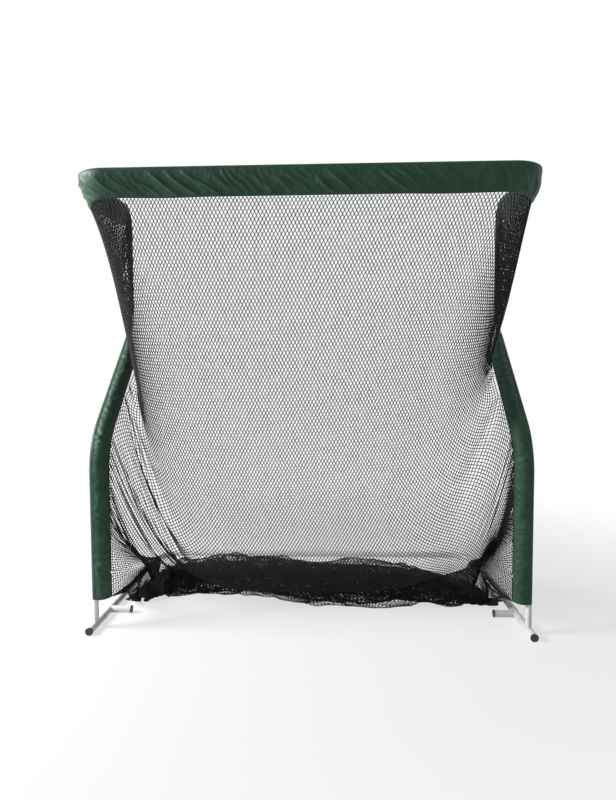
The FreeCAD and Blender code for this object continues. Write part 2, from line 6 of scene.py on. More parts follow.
from __future__ import annotations

import json
import logging
import math
from collections.abc import Callable
from dataclasses import dataclass, field
from enum import Enum
from functools import cache
from typing import ClassVar

import bpy
import numpy as np
from mathutils import Euler, Matrix, Vector


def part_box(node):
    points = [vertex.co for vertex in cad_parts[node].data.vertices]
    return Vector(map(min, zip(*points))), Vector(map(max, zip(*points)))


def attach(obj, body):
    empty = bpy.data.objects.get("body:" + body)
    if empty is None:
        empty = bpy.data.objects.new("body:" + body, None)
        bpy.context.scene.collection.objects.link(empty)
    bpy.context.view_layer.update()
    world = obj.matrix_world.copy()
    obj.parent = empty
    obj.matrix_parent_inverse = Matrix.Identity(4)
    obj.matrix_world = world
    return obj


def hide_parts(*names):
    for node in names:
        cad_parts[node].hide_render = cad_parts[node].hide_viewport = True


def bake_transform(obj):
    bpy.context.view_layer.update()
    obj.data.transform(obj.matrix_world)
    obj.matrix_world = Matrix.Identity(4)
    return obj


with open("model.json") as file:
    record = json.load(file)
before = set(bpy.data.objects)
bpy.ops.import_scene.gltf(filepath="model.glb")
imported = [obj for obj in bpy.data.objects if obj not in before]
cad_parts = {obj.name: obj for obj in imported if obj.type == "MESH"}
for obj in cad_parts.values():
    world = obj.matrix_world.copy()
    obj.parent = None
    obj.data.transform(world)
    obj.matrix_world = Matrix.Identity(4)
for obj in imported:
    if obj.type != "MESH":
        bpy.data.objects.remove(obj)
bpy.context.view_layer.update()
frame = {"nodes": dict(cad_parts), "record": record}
LOG = logging.getLogger("chipping_net")
Array = np.ndarray


class Side(Enum):
    """The two sides of the frame, seen by the golfer."""

    LEFT = -1
    RIGHT = 1

    @property
    def word(self) -> str:
        """The prefix that this side's nodes have."""
        return self.name.lower()


def vec(*values: float) -> Array:
    """A point or direction as an array of floats."""
    return np.array(values, float)


def unit(v: Array) -> Array:
    """The vectors of an array, each scaled to length one."""
    return v / np.maximum(np.linalg.norm(v, axis=-1, keepdims=True), 1e-12)


def smooth(t: Array) -> Array:
    """Eases from nought to one with level ends."""
    t = np.clip(t, 0.0, 1.0)
    return t * t * (3.0 - 2.0 * t)


def waves(rng: np.random.Generator, rows: int, columns: int, tall: int, wide: int) -> Array:
    """Smooth random waves over a grid.

    Args:
        rng: where the numbers come from.
        rows: rows of the grid.
        columns: columns of the grid.
        tall: how many waves down.
        wide: how many waves across.

    Returns:
        The waves, about one unit high.
    """
    coarse = rng.standard_normal((tall, wide))
    u, v = np.linspace(0, wide - 1, columns), np.linspace(0, tall - 1, rows)
    low_u, low_v = np.minimum(u.astype(int), wide - 2), np.minimum(v.astype(int), tall - 2)
    fu, fv = smooth(u - low_u)[None, :], smooth(v - low_v)[:, None]
    p = coarse[low_v][:, low_u] * (1 - fu) + coarse[low_v][:, low_u + 1] * fu
    q = coarse[low_v + 1][:, low_u] * (1 - fu) + coarse[low_v + 1][:, low_u + 1] * fu
    return p * (1 - fv) + q * fv


class Centreline:
    """The axis of a bent tube: straight runs joined by tangent arcs."""

    SPACING = 0.003

    def __init__(self, corners: list[Array], radii: list[float]) -> None:
        """Lays the axis out.

        Args:
            corners: where the straight runs start, meet and end.
            radii: the bend at each corner between the first and the last.
        """
        points = [corners[0]]
        for before, corner, after, radius in zip(corners, corners[1:], corners[2:], radii):
            points.extend(self._bend(before, corner, after, radius) if radius else [corner])
        points.append(corners[-1])
        raw = np.array(points)
        self.stations = np.r_[0.0, np.cumsum(np.linalg.norm(np.diff(raw, axis=0), axis=1))]
        self.points = raw
        self.length = float(self.stations[-1])

    @staticmethod
    def _bend(before: Array, corner: Array, after: Array, radius: float) -> list[Array]:
        """Points round one bend.

        Args:
            before: the corner before this one.
            corner: where the two runs' lines meet.
            after: the corner after this one.
            radius: the bend's radius.

        Returns:
            The points, from the first tangent point to the last.
        """
        into, out = unit(corner - before), unit(after - corner)
        turn = math.acos(float(np.clip(into @ out, -1.0, 1.0)))
        first, last = corner - into * radius * math.tan(turn / 2), corner + out * radius * math.tan(turn / 2)
        centre = corner + unit(out - into) * radius / math.cos(turn / 2)
        count = max(3, int(turn * radius / Centreline.SPACING))
        shares = np.linspace(0.0, 1.0, count)
        return [
            centre
            + (first - centre) * math.sin((1 - k) * turn) / math.sin(turn)
            + (last - centre) * math.sin(k * turn) / math.sin(turn)
            for k in shares
        ]

    def at(self, s: Array) -> Array:
        """Points at distances along the axis, carried straight on past its ends.

        Args:
            s: distances from the first point.

        Returns:
            An array of points.
        """
        inside = np.clip(s, 0.0, self.length)
        found = np.stack([np.interp(inside, self.stations, self.points[:, k]) for k in range(3)], -1)
        beyond = (np.asarray(s) - inside)[..., None]
        ends = np.where(
            beyond < 0,
            unit(self.points[1] - self.points[0]),
            unit(self.points[-1] - self.points[-2]),
        )
        return found + beyond * ends

    def along(self, s: Array) -> Array:
        """Directions of travel at distances along the axis.

        Args:
            s: distances from the first point.

        Returns:
            An array of unit vectors.
        """
        return unit(self.at(np.asarray(s) + self.SPACING) - self.at(np.asarray(s) - self.SPACING))


@dataclass
class FramePlan:
    """The steel frame's layout: bends and corner heights are sizes, the rest is read from the nodes."""

    lean_start: float = 0.905
    waist: float = 1.505
    arm_rise: float = 0.040
    lean_bend: float = 0.35
    waist_bend: float = 0.15
    shoulder_bend: float = 0.10
    top_corner_bend: float = 0.15
    rear_corner_bend: float = 0.17
    half: float = field(init=False)
    floor_axis: float = field(init=False)
    upright_y: float = field(init=False)
    spine_y: float = field(init=False)
    top_y: float = field(init=False)
    top_z: float = field(init=False)
    rear_y: float = field(init=False)

    def __post_init__(self) -> None:
        """Reads the places of the tubes from the nodes."""
        nodes = ("left_foot_tube", "left_post", "left_spine_hem", "top_bar_coupler", "rear_bar_coupler")
        foot, post, hem, bar, rear = (self._middle(node) for node in nodes)
        self.half, self.floor_axis = -foot[0], foot[2]
        self.upright_y, self.spine_y = post[1], hem[1]
        self.top_y, self.top_z, self.rear_y = bar[1], bar[2], rear[1]

    @staticmethod
    def _middle(node: str) -> Array:
        """The middle of a node's box."""
        low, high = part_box(node)
        return (np.array(low) + np.array(high)) / 2

    @property
    def arm_slope(self) -> float:
        """The arms' rise from the top bar to the spines, as an angle."""
        return math.atan2(self.arm_rise, self.spine_y - self.top_y)

    @property
    def valance_drop(self) -> float:
        """From the top bar's axis down to the top sleeve's sewn edge."""
        return (self.top_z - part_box("top_sleeve")[0].z) / math.cos(self.arm_slope)

    @property
    def lean(self) -> float:
        """The uprights' lean from the vertical, as an angle."""
        return math.atan2(self.spine_y - self.upright_y, self.waist - self.lean_start)

    @property
    def shoulder_z(self) -> float:
        """The height at which the spine's and the arm's lines meet."""
        return self.top_z + self.arm_rise

    def tilted(self, points: Array) -> Array:
        """Turns what lies level at the top bar onto the slope of the arms.

        Args:
            points: an array of points.

        Returns:
            The turned points.
        """
        c, s = math.cos(self.arm_slope), math.sin(self.arm_slope)
        y, z = points[..., 1] - self.top_y, points[..., 2] - self.top_z
        return np.stack([points[..., 0], self.top_y + y * c - z * s, self.top_z + y * s + z * c], -1)

    def upright_line(self, low: float, stop_short: float) -> Centreline:
        """The left upright's axis from a height up to a distance short of the waist's corner.

        Args:
            low: the height where it starts.
            stop_short: how far below the corner it ends, along the lean.

        Returns:
            The axis, with its bend.
        """
        corner = vec(-self.half, self.upright_y, self.lean_start)
        waist = vec(-self.half, self.spine_y, self.waist)
        end = waist - unit(waist - corner) * stop_short
        return Centreline([vec(-self.half, self.upright_y, low), corner, end], [self.lean_bend])


class Links:
    """Threads between pairs of points, kept at a length."""

    def __init__(self, first: Array, second: Array, length: Array, give: float, only_pull: bool) -> None:
        """Ties the pairs. No point is in two pairs of one group.

        Args:
            first: index of each pair's first point.
            second: index of each pair's second point.
            length: the length of each thread.
            give: share of an error that one sweep takes away.
            only_pull: true for threads that go slack instead of pushing.
        """
        self.first, self.second, self.length = first, second, length
        self.give, self.only_pull = give, only_pull

    def tighten(self, points: Array, freedom: Array) -> None:
        """Moves the points of each pair towards their length.

        Args:
            points: the points, changed in place.
            freedom: one for a free point and nought for a held one.
        """
        a, b = self.first, self.second
        span = points[b] - points[a]
        distance = np.sqrt(np.einsum("ij,ij->i", span, span)) + 1e-12
        error = distance - self.length
        if self.only_pull:
            error = np.maximum(error, 0.0)
        share = freedom[a] + freedom[b]
        span *= (self.give * error / distance / np.maximum(share, 1e-9))[:, None]
        points[a] += span * freedom[a][:, None]
        points[b] -= span * freedom[b][:, None]


class Drape:
    """Cloth or netting as points and threads, settled under its own weight."""

    def __init__(self, points: Array, held: Array) -> None:
        """Sets the cloth out.

        Args:
            points: where each point starts.
            held: true for each point that is sewn to something.
        """
        self.points = points.copy()
        self.freedom = np.where(held, 0.0, 1.0)
        self.groups: list[Links] = []

    def tie(
        self, first: Array, second: Array, length: Array, give: float = 1.0, only_pull: bool = False
    ) -> None:
        """Adds one group of threads; see Links for the arguments."""
        keep = (self.freedom[first] + self.freedom[second]) > 0
        self.groups.append(Links(first[keep], second[keep], np.asarray(length)[keep], give, only_pull))

    def settle(
        self, steps: int, sweeps: int, weight: Array, drag: float, limits: list[Callable[[Array], None]]
    ) -> None:
        """Lets the cloth find its rest.

        Args:
            steps: how many moments pass.
            sweeps: how often the threads are tightened in each.
            weight: how far a free point falls in the first moment.
            drag: share of the speed that each moment keeps.
            limits: functions that move points out of what they may not enter.
        """
        speed = np.zeros_like(self.points)
        free = self.freedom[:, None]
        for _ in range(steps):
            before = self.points.copy()
            self.points += (speed + weight) * free
            for _ in range(sweeps):
                for group in self.groups:
                    group.tighten(self.points, self.freedom)
                for limit in limits:
                    limit(self.points)
            speed = (self.points - before) * drag


def mesh_piece(name: str, points: Array, faces: Array, finish: bpy.types.Material) -> bpy.types.Object:
    """Makes a smooth-shaded mesh object from arrays.

    Args:
        name: the piece's name.
        points: its points.
        faces: indices of each face's corners, all with the same count.
        finish: its material.

    Returns:
        The linked object.
    """
    mesh = bpy.data.meshes.new(name)
    count, corners = faces.shape
    mesh.vertices.add(len(points))
    mesh.vertices.foreach_set("co", np.ascontiguousarray(points, np.float32).ravel())
    mesh.loops.add(count * corners)
    mesh.loops.foreach_set("vertex_index", np.ascontiguousarray(faces, np.int32).ravel())
    mesh.polygons.add(count)
    mesh.polygons.foreach_set("loop_start", np.arange(0, count * corners, corners, dtype=np.int32))
    mesh.polygons.foreach_set("use_smooth", np.ones(count, bool))
    mesh.update(calc_edges=True)
    mesh.validate()
    mesh.materials.append(finish)
    piece = bpy.data.objects.new(name, mesh)
    bpy.context.scene.collection.objects.link(piece)
    return piece


def grid_faces(rows: int, columns: int, offset: int = 0) -> Array:
    """Quads of a grid of points stored row by row."""
    at = np.arange(rows * columns).reshape(rows, columns) + offset
    return np.stack([at[:-1, :-1], at[:-1, 1:], at[1:, 1:], at[1:, :-1]], -1).reshape(-1, 4)


# Finishes


class GroupBuilder:
    """Builds a shared node group with named number inputs and outputs."""

    NUMBER = "NodeSocketFloat"

    def __init__(self, name: str) -> None:
        """Starts an empty group."""
        self.tree = bpy.data.node_groups.new(name, "ShaderNodeTree")
        self.tree.nodes.new("NodeGroupInput").name = "in"
        self.tree.nodes.new("NodeGroupOutput").name = "out"

    def give(self, name: str, default: float) -> None:
        """Adds an input with its value where nothing is linked."""
        made = self.tree.interface.new_socket(name=name, in_out="INPUT", socket_type=self.NUMBER)
        made.default_value = default

    def get(self, name: str) -> None:
        """Adds an output."""
        self.tree.interface.new_socket(name=name, in_out="OUTPUT", socket_type=self.NUMBER)

    def node(self, kind: str, **settings: object) -> bpy.types.Node:
        """Adds a node.

        Args:
            kind: the node's type.
            settings: its properties.

        Returns:
            The node.
        """
        made = self.tree.nodes.new(kind)
        for key, value in settings.items():
            setattr(made, key, value)
        return made

    def link(self, source: bpy.types.NodeSocket, target: bpy.types.NodeSocket) -> None:
        """Joins two sockets."""
        self.tree.links.new(source, target)

    @property
    def start(self) -> bpy.types.NodeOutputs:
        """The group's inputs, seen from inside."""
        return self.tree.nodes["in"].outputs

    @property
    def end(self) -> bpy.types.NodeInputs:
        """The group's outputs, seen from inside."""
        return self.tree.nodes["out"].inputs


def mottle_group() -> bpy.types.NodeTree:
    """A cloudy mask, for uneven dye, dust and polish.

    Returns:
        The node group, with Scale and Contrast in and Mask out.
    """
    g = GroupBuilder("cloudy mottle")
    g.give("Scale", 10.0)
    g.give("Contrast", 1.0)
    g.get("Mask")
    place = g.node("ShaderNodeTexCoord")
    broad = g.node("ShaderNodeTexNoise")
    broad.inputs["Detail"].default_value = 5.0
    broad.inputs["Roughness"].default_value = 0.6
    g.link(place.outputs["Object"], broad.inputs["Vector"])
    g.link(g.start["Scale"], broad.inputs["Scale"])
    centred = g.node("ShaderNodeMath", operation="SUBTRACT")
    centred.inputs[1].default_value = 0.5
    g.link(broad.outputs["Fac"], centred.inputs[0])
    scaled = g.node("ShaderNodeMath", operation="MULTIPLY")
    g.link(centred.outputs[0], scaled.inputs[0])
    g.link(g.start["Contrast"], scaled.inputs[1])
    back = g.node("ShaderNodeMath", operation="ADD", use_clamp=True)
    back.inputs[1].default_value = 0.5
    g.link(scaled.outputs[0], back.inputs[0])
    g.link(back.outputs[0], g.end["Mask"])
    return g.tree


def weave_group() -> bpy.types.NodeTree:
    """The height of a fine plain weave, from two crossed sets of ribs.

    Returns:
        The node group, with Threads in and Height out.
    """
    g = GroupBuilder("plain weave")
    g.give("Threads", 900.0)
    g.get("Height")
    place = g.node("ShaderNodeTexCoord")
    higher = g.node("ShaderNodeMath", operation="MAXIMUM")
    for direction, height in zip("XZ", higher.inputs):
        ribs = g.node(
            "ShaderNodeTexWave", wave_type="BANDS", bands_direction=direction, wave_profile="SIN"
        )
        ribs.inputs["Distortion"].default_value = 0.4
        ribs.inputs["Detail"].default_value = 1.0
        g.link(place.outputs["Object"], ribs.inputs["Vector"])
        g.link(g.start["Threads"], ribs.inputs["Scale"])
        g.link(ribs.outputs["Fac"], height)
    g.link(higher.outputs[0], g.end["Height"])
    return g.tree


class Pattern(Enum):
    """The patterns that the finishes share."""

    MOTTLE = "mottle"
    WEAVE = "weave"


@cache
def shared_group(pattern: Pattern) -> bpy.types.NodeTree:
    """The node group of a pattern, built on first use."""
    return mottle_group() if pattern is Pattern.MOTTLE else weave_group()


@dataclass(frozen=True)
class Relief:
    """A fine relief: its pattern and that group's inputs, its depth in metres and how much of it shows."""

    pattern: Pattern
    values: tuple
    depth: float
    strength: float


@dataclass(frozen=True)
class Finish:
    """A clouded colour under a fine relief. Each finish below gives it its own values."""

    name: str = "plain"
    low: tuple = (0.1, 0.1, 0.1)
    high: tuple = (0.2, 0.2, 0.2)
    roughness: float = 0.5
    cloud: tuple = (10.0, 1.0)
    reliefs: tuple = ()
    specular: float = 0.5

    @staticmethod
    def place(material: bpy.types.Material, pattern: Pattern, values: tuple) -> bpy.types.NodeSocket:
        """Puts a shared group into a material.

        Args:
            material: the material.
            pattern: which group.
            values: its inputs, in order.

        Returns:
            The group's output.
        """
        node = material.node_tree.nodes.new("ShaderNodeGroup")
        node.node_tree = shared_group(pattern)
        for socket, value in zip(node.inputs, values):
            socket.default_value = value
        return node.outputs[0]

    def make(self) -> bpy.types.Material:
        """The finish as a material.

        Returns:
            The material.
        """
        material = bpy.data.materials.new(self.name)
        material.use_nodes = True
        nodes, links = material.node_tree.nodes, material.node_tree.links
        shader, ramp = nodes["Principled BSDF"], nodes.new("ShaderNodeValToRGB")
        for element, colour in zip(ramp.color_ramp.elements, (self.low, self.high)):
            element.color = (*colour, 1.0)
        links.new(self.place(material, Pattern.MOTTLE, self.cloud), ramp.inputs["Fac"])
        links.new(ramp.outputs["Color"], shader.inputs["Base Color"])
        target = shader.inputs["Normal"]
        for relief in reversed(self.reliefs):
            bump = nodes.new("ShaderNodeBump")
            bump.inputs["Distance"].default_value = relief.depth
            bump.inputs["Strength"].default_value = relief.strength
            links.new(self.place(material, relief.pattern, relief.values), bump.inputs["Height"])
            links.new(bump.outputs["Normal"], target)
            target = bump.inputs["Normal"]
        shader.inputs["Roughness"].default_value = self.roughness
        shader.inputs["Specular IOR Level"].default_value = self.specular
        return material


@dataclass(frozen=True)
class PowderCoat(Finish):
    """White powder coat on steel tube: satin, with the faint orange peel of a baked coat."""

    name: str = "white powder coat"
    low: tuple = (0.66, 0.67, 0.66)
    high: tuple = (0.80, 0.81, 0.81)
    roughness: float = 0.38
    cloud: tuple = (9.0, 1.4)
    reliefs: tuple = (Relief(Pattern.MOTTLE, (420.0, 1.0), 0.0002, 0.35),)


@dataclass(frozen=True)
class MouldedPlastic(Finish):
    """Black moulded plastic, mottled with scuffed grey."""

    name: str = "black moulded plastic"
    low: tuple = (0.012, 0.012, 0.013)
    high: tuple = (0.05, 0.05, 0.052)
    cloud: tuple = (60.0, 2.2)
    reliefs: tuple = (Relief(Pattern.MOTTLE, (900.0, 1.0), 0.0002, 0.5),)


@dataclass(frozen=True)
class Nylon(Finish):
    """Thin green nylon: a plain weave with fine creases and a slight sheen."""

    name: str = "green nylon"
    low: tuple = (0.013, 0.042, 0.025)
    high: tuple = (0.036, 0.090, 0.059)
    cloud: tuple = (14.0, 1.8)
    reliefs: tuple = (
        Relief(Pattern.MOTTLE, (45.0, 1.5), 0.004, 0.35),
        Relief(Pattern.WEAVE, (500.0,), 0.0002, 0.25),
    )
    specular: float = 0.2
    sheen: float = 0.15
    sheen_roughness: float = 0.35
    sheen_tint: tuple = (0.75, 1.0, 0.85, 1.0)

    def make(self) -> bpy.types.Material:
        """The finish as a material, with its sheen."""
        material = super().make()
        shader = material.node_tree.nodes["Principled BSDF"]
        shader.inputs["Sheen Weight"].default_value = self.sheen
        shader.inputs["Sheen Roughness"].default_value = self.sheen_roughness
        shader.inputs["Sheen Tint"].default_value = self.sheen_tint
        return material


@dataclass(frozen=True)
class ShadedNylon(Nylon):
    """The same green nylon with shade painted into its colour, nearly black, for the arm sleeves."""

    name: str = "green nylon in painted shade"
    # Painted shade: the green nylon darkened to near black, as the arm sleeves look in shade.
    low: tuple = (0.006, 0.011, 0.008)
    high: tuple = (0.011, 0.019, 0.014)
    reliefs: tuple = (
        Relief(Pattern.MOTTLE, (45.0, 1.5), 0.004, 0.4),
        Relief(Pattern.WEAVE, (500.0,), 0.0002, 0.25),
    )


@dataclass(frozen=True)
class Twine(Finish):
    """Black knotted twine, matt and a little faded."""

    name: str = "black twine"
    low: tuple = (0.006, 0.006, 0.007)
    high: tuple = (0.016, 0.016, 0.017)
    roughness: float = 0.8
    cloud: tuple = (25.0, 1.6)
    specular: float = 0.25


@dataclass(frozen=True)
class HemCloth(Finish):
    """Hem cloth sewn round the spines: its near-black green is the cloth's own dark colour with painted shade
    in it.
    """

    name: str = "dark hem cloth in painted shade"
    # Painted shade in part: the dark green of green cloth in shade, over the cloth's own dark colour.
    low: tuple = (0.006, 0.009, 0.008)
    high: tuple = (0.014, 0.020, 0.017)
    roughness: float = 0.7
    cloud: tuple = (30.0, 1.6)
    reliefs: tuple = (Relief(Pattern.WEAVE, (500.0,), 0.0003, 0.4),)


@dataclass(frozen=True)
class Cordage(Finish):
    """Pale twisted cord."""

    name: str = "pale cord"
    low: tuple = (0.42, 0.43, 0.40)
    high: tuple = (0.68, 0.69, 0.65)
    roughness: float = 0.7
    cloud: tuple = (700.0, 2.0)


@dataclass
class Finishes:
    """Every material of the net, made once."""

    steel: bpy.types.Material = field(default_factory=lambda: PowderCoat().make())
    plastic: bpy.types.Material = field(default_factory=lambda: MouldedPlastic().make())
    nylon: bpy.types.Material = field(default_factory=lambda: Nylon().make())
    shaded_nylon: bpy.types.Material = field(default_factory=lambda: ShadedNylon().make())
    twine: bpy.types.Material = field(default_factory=lambda: Twine().make())
    hem: bpy.types.Material = field(default_factory=lambda: HemCloth().make())
    cord: bpy.types.Material = field(default_factory=lambda: Cordage().make())


# Steel and plastic


@dataclass
class TubeFrame:
    """The push-fit steel tubes with their caps and cords: the measured nodes, with their finishes."""

    finishes: Finishes

    def dress(self) -> None:
        """Gives each rigid node its finish."""
        by_slot = {
            "white_steel": self.finishes.steel,
            "black_plastic": self.finishes.plastic,
            "green_cloth": self.finishes.nylon,
            "black_netting": self.finishes.twine,
            "black_hem": self.finishes.hem,
            "tie_cord": self.finishes.cord,
        }
        slots = {part["node"]: part["material_slot"] for part in frame["record"]["subparts"]}
        for name, node in frame["nodes"].items():
            node.data.materials.clear()
            node.data.materials.append(by_slot[slots[name]])
        LOG.info("tube frame: %d nodes dressed", len(frame["nodes"]))


# Green sleeves


@dataclass(frozen=True)
class Fold:
    """One set of folds in a sleeve.

    Slant is how far each runs along the tube as it falls, sharp how narrow its ridge is, and wander how
    unevenly the folds lie.
    """

    spacing: float
    height: float
    slant: float
    sharp: float = 2.0
    wander: float = 0.5


@dataclass
class Sleeve:
    """Cloth round a tube, with its two layers sewn together below it."""

    LAYER_GAP: ClassVar[float] = 0.0008
    SCATTER: ClassVar[float] = 0.0004
    SHEAR_GIVE: ClassVar[float] = 0.7
    STIFFNESS: ClassVar[float] = 0.10
    PUCKER_HEIGHT: ClassVar[float] = 0.0016
    PUCKER_SPACING: ClassVar[float] = 0.014
    SAG: ClassVar[float] = 2e-5
    DRAG: ClassVar[float] = 0.9
    MOMENTS: ClassVar[int] = 24
    SWEEPS: ClassVar[int] = 4
    FACE_POINTS: ClassVar[int] = 40
    TURN_POINTS: ClassVar[int] = 24
    SEAM_POINTS: ClassVar[int] = 160
    STITCH_GAP: ClassVar[float] = 0.0015

    line: Centreline
    down: Array
    wrap_radius: float
    drop: float
    folds: tuple = ()
    pitch: float = 0.006
    loose_along: float = 0.01
    loose_round: float = 0.015
    puff: float = 0.005
    taper: float = 0.0
    taper_to: float = 0.15
    tuck: float = 0.0
    tuck_run: float = 0.45
    seed: int = 1

    def section(self) -> Array:
        """The sleeve's cross-section, from the seam up one face, over the tube and down the other.

        Returns:
            Points as (outwards from the tube, down from the tube), evenly spaced.
        """
        sides = np.linspace(1.0, 0.0, self.FACE_POINTS)
        half = self.wrap_radius * (1 - sides**1.5) + self.puff * np.sin(math.pi * sides) ** 0.8
        half = np.maximum(half, self.LAYER_GAP)
        turn = np.linspace(0.0, math.pi, self.TURN_POINTS)[1:-1]
        over = np.stack([-self.wrap_radius * np.cos(turn), -self.wrap_radius * np.sin(turn)], -1)
        back = np.stack([-half, sides * self.drop], -1)
        front = np.stack([half, sides * self.drop], -1)[::-1]
        raw = np.concatenate([back, over, front])
        run = np.r_[0.0, np.cumsum(np.linalg.norm(np.diff(raw, axis=0), axis=1))]
        count = int(run[-1] / self.pitch) | 1
        even = np.linspace(0.0, run[-1], count)
        return np.stack([np.interp(even, run, raw[:, k]) for k in range(2)], -1)

    def reach_at(self, s: Array) -> Array:
        """The share of its full drop that the cloth has at distances along the tube."""
        if not self.taper:
            return np.ones_like(s)
        left = (self.line.length - s) / self.taper
        return self.taper_to + (1 - self.taper_to) * np.sin(np.clip(left, 0, 1) * math.pi / 2)

    def downward(self, s: Array) -> Array:
        """The way that the cloth hangs at distances along the tube, square to it.

        Args:
            s: distances from the tube's start.

        Returns:
            An array of unit vectors.
        """
        along = self.line.along(s)
        end = np.minimum(s, self.line.length - s)
        eased_out = 1 - smooth((end - self.tuck_run * 0.8) / self.tuck_run)
        pulled = smooth(end / (self.tuck_run * 0.4)) * eased_out
        hang = self.down + np.cross(vec(0, 0, 1), along) * (self.tuck * pulled)[..., None]
        return unit(hang - along * np.einsum("...k,...k->...", along, hang)[..., None])

    def seam(self) -> Array:
        """The line just past the stitches, from the start of the tube to its end."""
        s = np.linspace(0.0, self.line.length, self.SEAM_POINTS)
        below = self.drop * self.reach_at(s) + self.STITCH_GAP
        return self.line.at(s) + self.downward(s) * below[:, None]

    def lay(self, s: Array, section: Array, lift: Array) -> Array:
        """Points of the sleeve at distances along the tube, one for each section point.

        Args:
            s: distances, as rows of the grid by section points.
            section: the cross-section.
            lift: how far each point stands off the smooth sleeve.

        Returns:
            The points, with the grid's shape.
        """
        down = self.downward(s)
        out = np.cross(down, self.line.along(s))
        below = np.where(section[:, 1] > 0, section[:, 1] * self.reach_at(s), section[:, 1])
        off = section[:, 0] + np.sign(np.round(section[:, 0], 5)) * lift
        return self.line.at(s) + out * off[..., None] + down * below[..., None]

    def creases(self, s: Array, section: Array, rng: np.random.Generator) -> Array:
        """The folds that the sleeve was crumpled into before it was pulled on.

        Args:
            s: distances, as rows of the grid by section points.
            section: the cross-section.
            rng: where the numbers come from.

        Returns:
            How far each point stands off the smooth sleeve.
        """
        rows, columns = s.shape
        fall = np.clip(section[:, 1], 0.0, None)[None, :] * np.ones_like(s)
        share = fall / self.drop
        lift = np.zeros_like(s)
        for fold in self.folds:
            tall = max(4, int(self.line.length / fold.spacing * 0.7))
            astray = fold.wander * waves(rng, rows, columns, tall, 3)
            phase = (s - fold.slant * fall) / fold.spacing + astray
            ridge = (1 - np.abs(np.sin(math.pi * phase))) ** fold.sharp
            strength = np.clip(0.55 + 0.55 * waves(rng, rows, columns, tall, 3), 0.0, 1.6)
            lift += fold.height * ridge * strength
        uneven = 2.5 * waves(rng, rows, columns, 60, 4)
        pucker = 0.5 + 0.5 * np.sin(2 * math.pi * s / self.PUCKER_SPACING + uneven)
        held = np.sin(math.pi * np.clip(share, 0.0, 1.0)) ** 0.6
        return lift * held + self.PUCKER_HEIGHT * pucker * smooth((share - 0.7) / 0.25) * (share < 0.999)

    def drape(self) -> tuple[Array, Array]:
        """Sews the sleeve on with its slack and lets it crease.

        Returns:
            The grid of points and the faces.
        """
        section = self.section()
        rows, columns = int(self.line.length / self.pitch), len(section)
        s = np.repeat(np.linspace(0.0, self.line.length, rows)[:, None], columns, 1)
        rng = np.random.default_rng(self.seed)
        cut = self.lay(s, section, self.creases(s, section, rng)).reshape(-1, 3)
        held = np.zeros((rows, columns), bool)
        held[:, [0, -1]] = True
        held[:, columns // 2 - 1 : columns // 2 + 2] = True
        scatter = rng.normal(0, self.SCATTER, cut.shape) * ~held.ravel()[:, None]
        cloth = Drape(cut + scatter, held.ravel())
        self._weave(cloth, np.arange(rows * columns).reshape(rows, columns), cut)
        clear = self._clear_of_tube(s, section, cloth)
        cloth.settle(self.MOMENTS, self.SWEEPS, vec(0, 0, -self.SAG), self.DRAG, [clear])
        return cloth.points.reshape(rows, columns, 3), grid_faces(rows, columns)

    def _weave(self, cloth: Drape, index: Array, cut: Array) -> None:
        """Ties the threads: both ways, across, and over two steps, which keeps bends round.

        Args:
            cloth: the sleeve's points.
            index: the number of each point, as the grid lies.
            cut: the points as the cloth was cut, for the lengths.
        """

        def tie(first: Array, second: Array, give: float, loose: float) -> None:
            a, b = first.ravel(), second.ravel()
            cloth.tie(a, b, np.linalg.norm(cut[a] - cut[b], axis=1) * (1 + loose), give)

        slant = (self.loose_along + self.loose_round) / 2
        for k in (0, 1):
            tie(index[k:-1:2], index[k + 1 :: 2], 1.0, self.loose_along)
            tie(index[:, k:-1:2], index[:, k + 1 :: 2], 1.0, self.loose_round)
            tie(index[k:-1:2, :-1], index[k + 1 :: 2, 1:], self.SHEAR_GIVE, slant)
            tie(index[k:-1:2, 1:], index[k + 1 :: 2, :-1], self.SHEAR_GIVE, slant)
        for k in range(4):
            if k < 2:
                a, b = index[k:-2:4], index[k + 2 :: 4]
                tie(a[: len(b)], b[: len(a)], self.STIFFNESS, self.loose_along)
            a, b = index[:, k:-2:4], index[:, k + 2 :: 4]
            count = min(a.shape[1], b.shape[1])
            tie(a[:, :count], b[:, :count], self.STIFFNESS, self.loose_round)

    def _clear_of_tube(self, s: Array, section: Array, cloth: Drape) -> Callable[[Array], None]:
        """A limit that keeps the cloth off the tube and its two layers on their own sides.

        Args:
            s: distances along the tube, as rows of the grid by section points.
            section: the cross-section.
            cloth: the sleeve's points.

        Returns:
            The limit.
        """
        axis = self.line.at(s).reshape(-1, 3)
        along = self.line.along(s).reshape(-1, 3)
        face = np.sign(np.round(section[:, 0], 5))[None, :].repeat(len(s), 0).ravel()
        out = np.cross(self.downward(s).reshape(-1, 3), along)
        free = cloth.freedom > 0

        def limit(p: Array) -> None:
            d = p - axis
            d -= along * np.einsum("ij,ij->i", d, along)[:, None]
            size = np.linalg.norm(d, axis=1)
            inside = (size < self.wrap_radius) & free
            p[inside] += d[inside] * (self.wrap_radius / size[inside] - 1)[:, None]
            across = np.einsum("ij,ij->i", p - axis, out)
            wrong = (across * face < self.LAYER_GAP) & free
            p[wrong] += out[wrong] * (self.LAYER_GAP * face[wrong] - across[wrong])[:, None]

        return limit


# Netting


